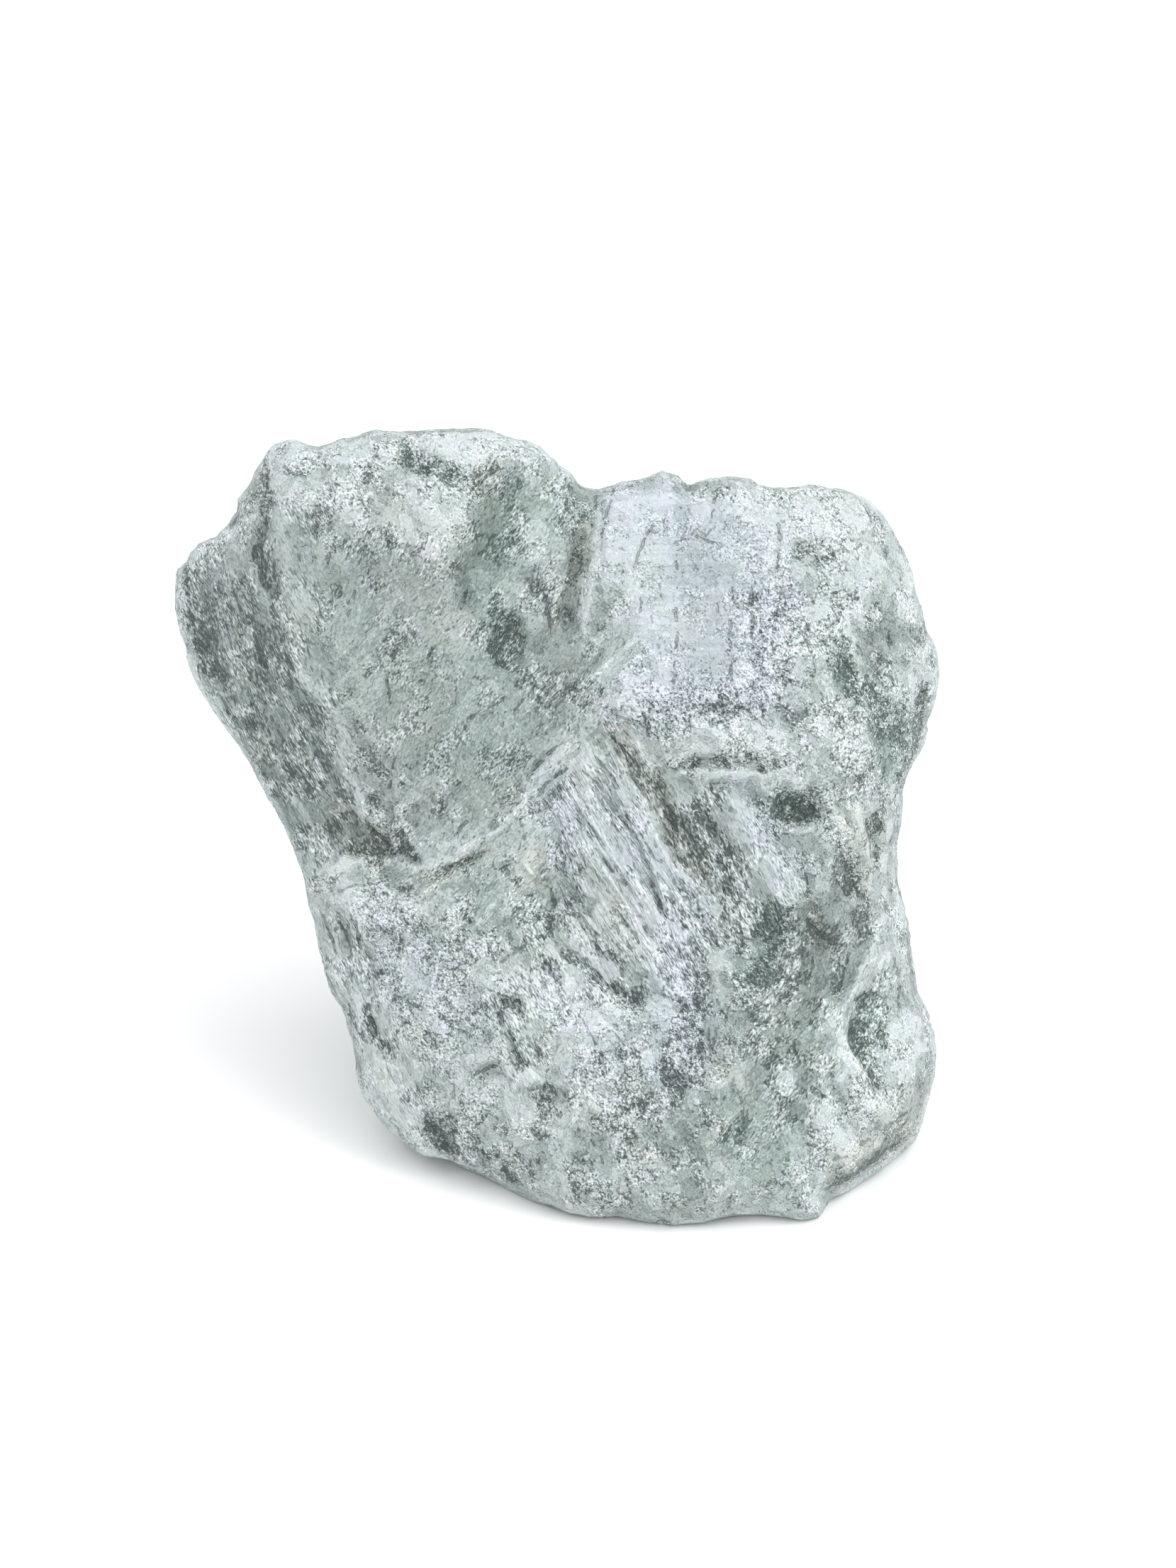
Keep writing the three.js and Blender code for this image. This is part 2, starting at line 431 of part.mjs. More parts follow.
// signed skin function, positive outside, for a point given from the heart in the block's frame
function outside(dx, dy, dz) {
  const X = hx + dx, Y = hy + dy, Z = hz + dz;
  const across = X, up = Y * SIN + Z * COS, away = Y * COS - Z * SIN;
  const reach = POLE_DISTANCE + away;
  const cx = CHART_AXIS_X + FOCAL * across / reach, cy = CHART_AXIS_Y - FOCAL * up / reach;
  let rear = away - sample(back, cx, cy);
  for (const [nx, ny, nz, d] of flats) {
    const f = nx * dx + ny * dy + nz * dz - d;
    const m = Math.max(rear, f), t = Math.abs(rear - f);
    rear = t < 5 ? m + (5 - t) * (5 - t) / 20 : m;
  }
  return Math.max(sample(front, cx, cy) - away, rear, REST_LEVEL - Z);
}

function skinRadius(d) {
  let near = 0, far = 0;
  for (let r = 4; r < 300; r += 2) {
    if (outside(d[0] * r, d[1] * r, d[2] * r) > 0) { far = r; break; }
    near = r;
  }
  for (let n = 0; n < 22; n++) {
    const mid = 0.5 * (near + far);
    if (outside(d[0] * mid, d[1] * mid, d[2] * mid) > 0) far = mid; else near = mid;
  }
  return 0.5 * (near + far);
}

const ball = new THREE.IcosahedronGeometry(1, SKIN_DETAIL).getAttribute('position');
const known = new Map();
function skinPoint(x, y, z) {
  const key = `${Math.round(x * 1e5)},${Math.round(y * 1e5)},${Math.round(z * 1e5)}`;
  if (known.has(key)) return known.get(key);
  const size = Math.hypot(x, y, z);
  let d = [x / size, y / size - COS * FRONT_DENSITY, z / size + SIN * FRONT_DENSITY];
  const n = Math.hypot(...d);
  d = d.map((v) => v / n);
  const r = skinRadius(d);
  const px = hx + d[0] * r, py = hy + d[1] * r, pz = hz + d[2] * r;
  const lift = Math.min(1, Math.max(0, (pz - REST_LEVEL) / 9));
  const facing = -(d[1] * COS - d[2] * SIN);
  const rear = Math.min(1, Math.max(0, 0.55 - facing));
  const rough = (0.7 + 1.5 * rear) * swell(px / 34, py / 34, pz / 34) + (0.45 + 0.8 * rear) * swell(px / 15 + 7, py / 15, pz / 15)
    - (0.8 + 4.2 * rear) * (0.42 - scoops(px / 46, py / 46, pz / 46, 5)) - (0.5 + 1.9 * rear) * (0.42 - scoops(px / 21, py / 21, pz / 21, 31));
  const q = r + rough * lift;
  let wz = hz + d[2] * q - REST_LEVEL;
  if (pz - REST_LEVEL < 0.02 || wz < 0) wz = 0;
  const point = [hx + d[0] * q + ORIGIN_SHIFT[0], hy + d[1] * q + ORIGIN_SHIFT[1], wz];
  known.set(key, point);
  return point;
}

const corners = new Float32Array(ball.count * 3);
for (let a = 0; a < ball.count; a++) corners.set(skinPoint(ball.getX(a), ball.getY(a), ball.getZ(a)), a * 3);
const skin = new THREE.BufferGeometry();
skin.setAttribute('position', new THREE.BufferAttribute(corners, 3));
skin.computeVertexNormals();

const stone = new THREE.MeshStandardMaterial({ color: 0xb9c0bb, roughness: 0.82, metalness: 0 });
stone.name = 'soapstone';
const boulder = new THREE.Mesh(skin, stone);
boulder.name = 'boulder';
const group = new THREE.Group();
group.name = 'soapstone_boulder';
group.add(boulder);
export default group;
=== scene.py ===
import math
import bpy
import numpy as np
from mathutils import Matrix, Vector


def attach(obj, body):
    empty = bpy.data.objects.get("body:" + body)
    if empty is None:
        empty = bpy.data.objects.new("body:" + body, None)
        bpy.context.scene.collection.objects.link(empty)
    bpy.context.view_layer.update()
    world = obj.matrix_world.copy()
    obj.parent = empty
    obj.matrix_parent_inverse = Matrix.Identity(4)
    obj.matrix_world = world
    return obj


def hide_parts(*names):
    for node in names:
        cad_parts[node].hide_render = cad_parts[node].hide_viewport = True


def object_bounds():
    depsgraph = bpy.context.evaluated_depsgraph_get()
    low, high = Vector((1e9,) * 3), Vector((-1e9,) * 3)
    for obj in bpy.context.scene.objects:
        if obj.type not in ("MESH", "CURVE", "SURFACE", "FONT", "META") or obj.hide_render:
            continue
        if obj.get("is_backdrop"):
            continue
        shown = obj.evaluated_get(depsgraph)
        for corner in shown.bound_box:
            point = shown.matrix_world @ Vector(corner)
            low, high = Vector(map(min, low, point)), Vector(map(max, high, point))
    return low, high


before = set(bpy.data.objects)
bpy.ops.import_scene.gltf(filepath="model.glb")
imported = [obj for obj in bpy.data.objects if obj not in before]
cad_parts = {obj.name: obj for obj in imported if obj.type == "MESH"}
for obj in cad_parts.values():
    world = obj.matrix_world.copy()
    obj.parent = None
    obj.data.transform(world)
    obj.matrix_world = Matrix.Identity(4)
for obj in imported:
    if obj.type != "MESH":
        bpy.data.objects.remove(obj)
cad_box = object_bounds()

# Raw soapstone boulder, one natural piece. Lengths are worked out in millimetres in the row's frame and scaled to metres
# when the mesh is made. The relief tables are in chart units: the chart is seen square-on from a pole in front of and
# above the stone, x to the right, y down, and it is fixed to the stone.

# ---- driving dimensions, the same as the solid's ----
CHART_TILT_DEG = 20
POLE_DISTANCE = 900.0
CHART_PER_MM = 3.92
CHART_AXIS = (829.5, 1106.0)
HEART = (815.0, 1165.0, 120.0)
REST_LEVEL = -161.6
BACK_THICKNESS, FOOT_THICKNESS = 118.0, 48.0
CELL = 4
ORIGIN_SHIFT = (13, -74.89)
GX0, GY0, GX1, GY1 = 228, 584, 1348, 1748
NX, NY = (GX1 - GX0) // CELL + 1, (GY1 - GY0) // CELL + 1

SKIN_STEPS = 99          # points along each edge of the twenty skin fields: 20 * 99 * 99 = 196,020 triangles
FRONT_DENSITY = 0.50     # how much closer the skin points sit on the worked front

OUTLINE = [
    (450, 631), (466, 625), (481, 618), (506, 614), (531, 606), (550, 608), (580, 606), (610, 604),
    (640, 602), (660, 601), (682, 601), (699, 605), (719, 611), (744, 616), (764, 626), (784, 644),
    (794, 655), (809, 662), (815, 672), (826, 683), (841, 687), (856, 684), (886, 677), (908, 671),
    (928, 661), (935, 659), (956, 667), (972, 682), (1000, 675), (1029, 671), (1055, 673), (1076, 680),
    (1100, 683), (1123, 680), (1144, 680), (1165, 684), (1181, 686), (1202, 693), (1231, 704), (1248, 721),
    (1257, 739), (1270, 760), (1282, 776), (1288, 794), (1296, 815), (1306, 841), (1313, 870), (1317, 888),
    (1325, 899), (1330, 917), (1330, 946), (1325, 972), (1318, 998), (1307, 1021), (1309, 1030), (1306, 1045),
    (1297, 1067), (1288, 1087), (1282, 1100), (1279, 1117), (1275, 1143), (1272, 1171), (1264, 1195), (1266, 1215),
    (1266, 1243), (1272, 1269), (1282, 1303), (1289, 1338), (1292, 1361), (1296, 1399), (1306, 1417), (1317, 1444),
    (1323, 1481), (1322, 1512), (1313, 1550), (1306, 1585), (1292, 1612), (1265, 1635), (1230, 1659), (1196, 1681),
    (1172, 1690), (1165, 1704), (1156, 1718), (1134, 1723), (1103, 1717), (1069, 1713), (1027, 1716), (989, 1726),
    (948, 1729), (900, 1723), (872, 1716), (834, 1718), (800, 1712), (770, 1700), (749, 1694), (721, 1680),
    (693, 1665), (655, 1649), (632, 1635), (601, 1629), (575, 1615), (550, 1596), (530, 1575), (514, 1552),
    (504, 1522), (500, 1494), (492, 1463), (481, 1435), (467, 1402), (455, 1374), (447, 1343), (440, 1300),
    (433, 1276), (428, 1243), (415, 1215), (402, 1177), (389, 1146), (371, 1118), (348, 1075), (333, 1049),
    (300, 1003), (280, 970), (265, 936), (262, 916), (252, 897), (247, 861), (249, 829), (252, 804),
    (262, 791), (265, 779), (275, 764), (297, 752), (312, 737), (328, 717), (331, 699), (344, 686),
    (354, 665), (368, 644), (384, 625), (414, 616),
]
TURN = [
    (450, 631, 56, 18), (600, 606, 50, 20), (700, 606, 50, 18), (784, 644, 54, 16),
    (841, 687, 62, 10), (928, 661, 50, 14), (1029, 671, 50, 14), (1123, 680, 52, 16),
    (1202, 695, 58, 20), (1270, 760, 66, 24), (1313, 870, 72, 26), (1330, 930, 76, 24),
    (1309, 1030, 76, 16), (1275, 1143, 70, 18), (1266, 1230, 70, 18), (1292, 1361, 70, 18),
    (1323, 1490, 70, 24), (1292, 1612, 68, 24), (1196, 1681, 46, 16), (1150, 1720, 29, 12),
    (1027, 1716, 26, 13), (948, 1729, 24, 13), (834, 1718, 28, 15), (749, 1694, 40, 18),
    (655, 1649, 56, 24), (575, 1615, 66, 28), (514, 1552, 72, 28), (492, 1463, 70, 24),
    (455, 1374, 70, 22), (428, 1243, 76, 18), (371, 1118, 84, 18), (280, 970, 90, 20),
    (247, 861, 92, 22), (265, 779, 88, 20), (331, 699, 76, 18), (384, 625, 66, 18),
]
RELIEF = [
    [0, 400, 672, 44, 455, 700, 36, 520, 722, 31, 585, 742, 29, 640, 775, 29],
    [1, 384, 655, 50, 386, 700, 46, 394, 770, 44, 404, 850, 43, 410, 925, 45],
    [1, 410, 948, 46, 447, 1008, 51, 478, 1092, 56, 512, 1150, 60],
    [1, 401, 950, 50, 436, 1012, 55.5, 466, 1092, 60.5, 496, 1150, 64],
    [0, 350, 700, 58, 338, 820, 61, 350, 920, 64, 384, 1020, 67, 424, 1110, 69, 450, 1185, 70],
    [1, 298, 800, 69, 292, 870, 73, 306, 955, 74],
    [0, 270, 800, 79, 268, 860, 82, 276, 920, 82],
    [1, 452, 1222, 64, 468, 1196, 64.5, 505, 1198, 64, 545, 1206, 62, 592, 1222, 57],
    [1, 592, 1222, 57, 640, 1197, 53.5, 700, 1166, 48.3, 745, 1112, 43, 790, 1060, 38, 812, 1005, 34, 830, 965, 33],
    [1, 448, 1256, 60.5, 466, 1238, 57.8, 500, 1236, 57, 545, 1240, 56, 592, 1240, 55],
    [1, 592, 1240, 55, 645, 1216, 52, 705, 1184, 47, 752, 1128, 42.3, 796, 1076, 38.3],
    [0, 470, 1285, 53, 530, 1285, 46, 590, 1275, 44, 650, 1262, 43, 705, 1225, 40],
    [0, 500, 800, 35, 520, 950, 43, 555, 1080, 51, 575, 1150, 56],
    [0, 640, 850, 32, 680, 1000, 41, 690, 1080, 47],
    [1, 704, 655, 32, 676, 700, 30.8, 656, 745, 31.6, 646, 785, 33.3],
    [1, 722, 664, 39.1, 696, 712, 39, 672, 755, 38.8, 660, 795, 38.5],
    [0, 690, 830, 40.1, 710, 890, 45.2, 712, 935, 45],
    [0, 765, 680, 42.4, 775, 760, 37.8, 768, 850, 38.4, 772, 930, 39.9],
    [1, 836, 700, 49.8, 822, 760, 43.8, 812, 820, 39.9, 802, 880, 39],
    [0, 800, 900, 39.3, 800, 950, 38.2],
    [1, 858, 700, 44.8, 852, 760, 37.8, 848, 825, 32],
    [1, 917, 884, 22, 880, 912, 25.5, 850, 935, 28, 824, 968, 31.5],
    [1, 853, 893, 31.2, 838, 940, 33],
    [0, 1110, 700, 43.8, 1115, 780, 34.2, 1112, 860, 27.6, 1110, 960, 21.4],
    [0, 955, 695, 45.7, 955, 800, 34.6, 955, 900, 25.3, 950, 965, 20.5],
    [0, 870, 975, 25.7, 950, 980, 20.8, 1050, 975, 18.7, 1110, 968, 20.5],
    [0, 838, 1010, 29.3, 880, 1018, 26.4, 950, 1045, 22.9, 1050, 1060, 19.2, 1110, 1060, 21.2],
    [0, 1170, 760, 40.8, 1185, 850, 32.4, 1195, 950, 28.2, 1200, 1050, 26],
    [0, 1255, 800, 48.6, 1275, 900, 49.3, 1285, 980, 50.8, 1275, 1060, 50.2],
    [1, 852, 1024, 33.5, 898, 1088, 34.5, 936, 1145, 36, 953, 1200, 37.5, 978, 1228, 36, 1018, 1260, 33],
    [0, 1018, 1260, 35, 1032, 1300, 30],
    [1, 882, 1026, 29, 928, 1085, 29, 958, 1120, 29, 985, 1140, 29],
    [0, 832, 1050, 34, 884, 1112, 34, 918, 1168, 33, 935, 1215, 30],
    [0, 812, 1100, 34.9, 855, 1170, 33.1, 890, 1250, 28.6, 925, 1320, 24.8, 960, 1380, 21.9],
    [1, 768, 1205, 40.5, 764, 1245, 41, 774, 1275, 39, 786, 1310, 35.5],
    [0, 786, 1310, 36.6, 830, 1355, 31.4, 880, 1400, 27.2],
    [0, 748, 1200, 40.5, 742, 1260, 39.5, 752, 1300, 36.8],
    [1, 1030, 1128, 26, 1075, 1200, 24, 1125, 1272, 21],
    [1, 1050, 1130, 25, 1090, 1190, 23, 1136, 1262, 21],
    [1, 1066, 1124, 30, 1104, 1184, 28, 1150, 1256, 25],
    [0, 1004, 1165, 33, 1040, 1230, 29, 1075, 1290, 25],
    [0, 1095, 1142, 31.6, 1125, 1137, 32.5, 1155, 1130, 29.4],
    [0, 1100, 1100, 22.9, 1150, 1100, 21.9, 1190, 1085, 23.6],
    [0, 1165, 1155, 24.9, 1205, 1170, 26.1],
    [0, 1180, 1235, 35.3, 1205, 1232, 37.2, 1192, 1262, 35.8],
    [0, 1238, 1155, 39.9, 1239, 1200, 42.7],
    [0, 1260, 1120, 43.2, 1257, 1200, 48.7, 1260, 1280, 49.1, 1270, 1360, 48.5],
    [0, 1155, 1300, 30.4, 1188, 1310, 33.6, 1183, 1345, 32.2],
    [1, 1238, 1345, 33.2, 1212, 1390, 27, 1197, 1435, 22.8, 1190, 1462, 20.3, 1204, 1500, 20, 1216, 1530, 20],
    [1, 1250, 1352, 41.4, 1224, 1400, 35.2, 1210, 1438, 32.9, 1206, 1466, 30.4, 1220, 1500, 28, 1232, 1535, 25],
    [0, 1282, 1430, 42.8, 1288, 1490, 39.8, 1272, 1560, 34],
    [0, 1000, 1340, 24.2, 1000, 1450, 19.1, 990, 1550, 14, 985, 1650, 12],
    [0, 1090, 1330, 25, 1100, 1430, 19.8, 1100, 1530, 15, 1090, 1640, 13],
    [0, 1160, 1400, 23.2, 1155, 1480, 18.6, 1165, 1560, 17, 1150, 1640, 17],
    [0, 1285, 1570, 40, 1240, 1612, 32, 1195, 1645, 26, 1162, 1675, 21],
    [0, 480, 1340, 59.2, 512, 1420, 52.6, 548, 1500, 48, 580, 1560, 47],
    [0, 565, 1340, 43.2, 592, 1420, 37.6, 612, 1500, 35, 630, 1570, 37],
    [0, 660, 1310, 37.6, 680, 1400, 30.2, 690, 1500, 27, 700, 1600, 28],
    [0, 742, 1350, 32.3, 770, 1430, 24.8, 790, 1530, 20, 800, 1630, 19],
    [0, 860, 1430, 22.8, 880, 1530, 16, 890, 1640, 14],
]
STROKES = [
    (3.5, 16, 16, 372, 650, 384, 690, 376, 740, 362, 772, 372, 802, 386, 832),
    (2.5, 14, 14, 295, 800, 286, 850, 284, 900, 298, 950),
    (-2.5, 14, 14, 300, 752, 340, 735, 367, 722),
    (3, 14, 10, 360, 890, 368, 930, 380, 960),
    (2.6, 26, 26, 485, 1165, 510, 1180, 530, 1185),
    (2, 14, 18, 512, 1150, 540, 1190, 572, 1206),
    (2.5, 10, 8, 608, 1242, 640, 1224, 686, 1204),
    (3.5, 34, 30, 715, 868, 718, 900, 705, 940),
    (3, 30, 30, 560, 640, 600, 655, 660, 665),
    (-2, 30, 14, 560, 690, 600, 720, 620, 745),
    (3, 18, 14, 655, 760, 640, 800, 665, 850, 675, 905),
    (2, 20, 20, 740, 800, 760, 840),
    (2.5, 10, 14, 822, 745, 815, 800, 806, 850, 800, 892),
    (-1.5, 12, 10, 838, 760, 832, 830, 822, 880, 815, 930),
    (2, 9, 7, 955, 1080, 1000, 1076, 1050, 1079, 1098, 1085),
    (-0.9, 6, 7, 960, 1091, 1010, 1090, 1060, 1093, 1110, 1094),
    (2.2, 14, 14, 980, 1010, 1005, 999, 1040, 1004),
    (2, 26, 26, 1120, 790, 1150, 780, 1175, 795),
    (2.5, 20, 24, 1185, 910, 1195, 950, 1190, 960),
    (2.5, 24, 24, 1215, 965, 1250, 990, 1240, 1040, 1280, 1030),
    (4, 14, 10, 1303, 960, 1300, 1010, 1296, 1050, 1288, 1085),
    (4.5, 34, 28, 1090, 1135, 1125, 1142, 1160, 1128),
    (3.5, 20, 20, 1205, 1215, 1198, 1245, 1180, 1262),
    (4, 14, 16, 1240, 1150, 1236, 1185, 1238, 1212),
    (3, 26, 26, 1085, 1300, 1075, 1340),
    (3, 26, 26, 1165, 1310, 1175, 1345),
    (-1.8, 12, 12, 1145, 1120, 1185, 1160, 1215, 1180),
    (2.5, 12, 14, 1018, 1255, 1030, 1285, 1022, 1320),
    (2.6, 16, 16, 480, 1290, 490, 1320, 480, 1345),
    (3, 12, 16, 518, 1422, 530, 1460, 548, 1488),
    (3.2, 20, 20, 605, 1580, 620, 1605, 635, 1630),
    (2, 18, 18, 675, 1515, 700, 1505),
    (2, 16, 20, 755, 1540, 785, 1545),
    (2, 20, 20, 705, 1415, 735, 1415),
    (2.2, 12, 12, 768, 1358, 780, 1382),
    (-2.2, 12, 16, 682, 1428, 702, 1450, 712, 1485, 732, 1522),
    (2.6, 12, 10, 706, 1445, 718, 1475, 735, 1505),
    (2.2, 14, 12, 870, 1398, 895, 1418, 905, 1408),
    (2, 18, 20, 940, 1510, 960, 1540),
    (-1.8, 9, 9, 940, 1390, 975, 1410),
    (2, 14, 12, 993, 1345, 1000, 1420, 992, 1500),
    (-1.6, 14, 14, 1095, 1520, 1120, 1548, 1150, 1560),
    (2, 14, 14, 1165, 1520, 1185, 1555, 1195, 1575),
    (-2.4, 30, 24, 1200, 1545, 1245, 1570),
    (-2, 26, 22, 1160, 1600, 1195, 1625),
    (3, 16, 14, 1300, 1600, 1250, 1650, 1185, 1692),
    (2.2, 12, 12, 1040, 1580, 1050, 1610),
    (2, 12, 12, 900, 1215, 920, 1255, 932, 1290),
    (2, 10, 10, 948, 1225, 975, 1270, 1000, 1305),
    (1.6, 10, 10, 828, 1060, 868, 1140, 900, 1196),
    (1.6, 10, 10, 912, 1305, 928, 1330, 948, 1352),
    (1, 18, 18, 760, 1232, 772, 1250),
    (2, 12, 12, 800, 1255, 836, 1300),
    (2.2, 12, 10, 800, 1335, 840, 1380, 880, 1405),
]
BACK_OUTLINE = [
    (402, 614), (560, 600), (760, 612), (1000, 656), (1190, 684), (1285, 785), (1334, 930), (1300, 1110),
    (1290, 1280), (1327, 1480), (1300, 1612), (1160, 1718), (950, 1732), (700, 1674), (520, 1572), (478, 1440),
    (418, 1240), (288, 995), (244, 850), (292, 742), (362, 640),
]
BACK_FLATS = [
    (2, -4, 84), (27, 12, 104), (-24, 10, 128), (50, 4, 121),
    (-50, -4, 142), (4, 34, 102), (-30, 38, 156), (38, 36, 139),
    (16, -30, 112), (-28, -30, 112), (62, -30, 134), (-66, -34, 104),
    (0, 58, 140),
]
# narrower relief on top of the solid's, in the same form as STROKES: mm, half width left, half width right, points
FINE = [
    (-2.3, 18, 14, 655, 760, 640, 800, 665, 850, 675, 905),
    # tool-marked block, upper right
    (0.9, 5, 8, 866, 690, 853, 731, 847, 760), (0.45, 6, 6, 924, 736, 909, 758, 894, 799),
    (0.7, 7, 7, 1011, 697, 1000, 747), (1.0, 22, 4, 1070, 751, 1061, 829, 1059, 920, 1070, 959),
    (0.7, 5, 6, 1035, 825, 1028, 894, 1031, 931, 1029, 975), (0.35, 6, 6, 955, 844, 954, 916, 951, 968, 944, 985),
    (0.5, 6, 6, 1102, 742, 1096, 823), (1.1, 14, 4, 1120, 732, 1120, 799),
    (1.3, 14, 14, 1124, 778, 1140, 776, 1160, 790), (0.6, 3, 34, 909, 799, 970, 798, 1031, 799),
    (-0.4, 5, 5, 862, 741, 905, 743), (0.5, 5, 5, 1039, 856, 1057, 861), (0.6, 8, 8, 948, 765, 985, 757, 1013, 770),
    (0.6, 5, 16, 905, 682, 1000, 690, 1010, 700), (-0.7, 8, 8, 945, 690, 948, 768),
    (1.0, 9, 9, 975, 1000, 1005, 992, 1040, 1000), (0.9, 8, 8, 1045, 990, 1060, 1010, 1075, 1022),
    (0.8, 7, 7, 1000, 1022, 1030, 1016), (0.9, 8, 8, 905, 1000, 915, 1020, 912, 1045),
    # parallel cleavage steps, middle
    (1.2, 8, 6, 821, 1087, 839, 1102, 860, 1130, 882, 1163, 899, 1191, 912, 1217, 925, 1239),
    (0.9, 6, 6, 839, 1069, 856, 1087, 872, 1110), (0.9, 7, 7, 839, 1195, 856, 1219, 884, 1249, 905, 1280),
    (1.6, 11, 9, 917, 1239, 928, 1271, 939, 1293), (1.4, 8, 8, 945, 1260, 962, 1284, 973, 1297),
    (-1.0, 7, 7, 930, 1235, 950, 1262, 965, 1290), (1.5, 8, 8, 908, 1304, 917, 1322),
    (1.5, 9, 9, 930, 1113, 943, 1147, 952, 1174, 952, 1195), (0.7, 6, 6, 795, 1105, 812, 1135, 832, 1165, 850, 1190),
    (0.6, 6, 6, 865, 1052, 885, 1085, 905, 1115, 925, 1150), (0.6, 6, 6, 885, 1150, 905, 1180, 922, 1210),
    (0.7, 6, 6, 860, 1275, 885, 1305, 905, 1335), (0.8, 6, 7, 800, 1275, 830, 1305, 860, 1335),
    (-0.6, 8, 8, 835, 1160, 862, 1205, 880, 1235), (-0.6, 7, 7, 850, 1120, 875, 1160, 890, 1190),
    # ledge left of them
    (1.2, 6, 8, 782, 1056, 765, 1072, 745, 1092), (-1.2, 10, 10, 743, 1106, 775, 1078, 804, 1054),
    (1.0, 8, 8, 758, 1124, 772, 1104, 804, 1080), (-1.0, 7, 7, 741, 1217, 750, 1232, 757, 1236),
    (0.9, 12, 12, 776, 1202, 787, 1217, 808, 1256, 826, 1271), (0.8, 11, 11, 775, 1250, 785, 1285),
    (-0.35, 8, 6, 596, 1228, 645, 1203, 704, 1171, 752, 1116), (0.6, 6, 6, 622, 1229, 650, 1216, 682, 1203),
    # right side
    (-1.5, 9, 9, 1243, 1304, 1226, 1348, 1207, 1389, 1194, 1416, 1182, 1450),
    (-0.9, 7, 7, 1158, 1510, 1165, 1534, 1177, 1559, 1192, 1573), (0.9, 6, 6, 1170, 1508, 1178, 1530, 1190, 1553),
    (-0.9, 12, 12, 1030, 1508, 1054, 1542), (-0.8, 10, 10, 998, 1605, 1037, 1568), (-0.8, 10, 10, 1018, 1358, 1049, 1377),
    (-0.9, 13, 13, 1102, 1500, 1122, 1537), (1.1, 7, 7, 1258, 890, 1259, 903), (0.9, 10, 8, 1134, 1292, 1150, 1310, 1170, 1330),
    (-0.9, 8, 8, 1185, 1290, 1172, 1315, 1160, 1345), (1.0, 6, 8, 1205, 1290, 1214, 1320, 1200, 1345),
    # upper left
    (0.8, 6, 6, 803, 678, 812, 695, 812, 713), (0.8, 6, 6, 660, 834, 655, 856), (0.8, 6, 6, 768, 838, 775, 886),
    (1.2, 7, 7, 795, 872, 798, 884), (-0.8, 8, 8, 742, 789, 770, 786, 799, 786), (1.5, 16, 4, 702, 640, 672, 664, 645, 667, 612, 650, 588, 640),
    (-0.7, 8, 8, 470, 655, 500, 648, 535, 650), (0.8, 8, 8, 398, 655, 410, 668, 432, 672), (1.0, 8, 8, 575, 632, 590, 650, 600, 668),
    (0.8, 6, 6, 610, 660, 628, 680, 650, 690), (-0.6, 9, 9, 700, 640, 712, 662, 700, 690),
    # left and lower left
    (0.9, 6, 6, 474, 1290, 486, 1315, 492, 1340), (0.9, 6, 6, 492, 1288, 503, 1312, 508, 1335),
    (0.8, 6, 6, 455, 1290, 464, 1320, 474, 1345), (1.2, 9, 11, 520, 1424, 530, 1458, 548, 1488),
    (-1.3, 8, 8, 684, 1426, 702, 1446, 712, 1482, 730, 1520), (0.9, 10, 10, 600, 1585, 622, 1605, 632, 1630),
    (0.8, 9, 9, 675, 1512, 700, 1504), (0.8, 9, 9, 757, 1540, 785, 1544), (0.8, 9, 9, 705, 1410, 738, 1412),
    (0.9, 7, 7, 768, 1358, 782, 1382), (0.7, 6, 6, 310, 985, 325, 1010, 342, 1035), (0.7, 6, 6, 340, 960, 352, 990, 366, 1020),
    (0.8, 6, 6, 262, 800, 264, 830, 262, 860), (0.9, 6, 6, 512, 1150, 526, 1170, 545, 1192, 562, 1210),
]

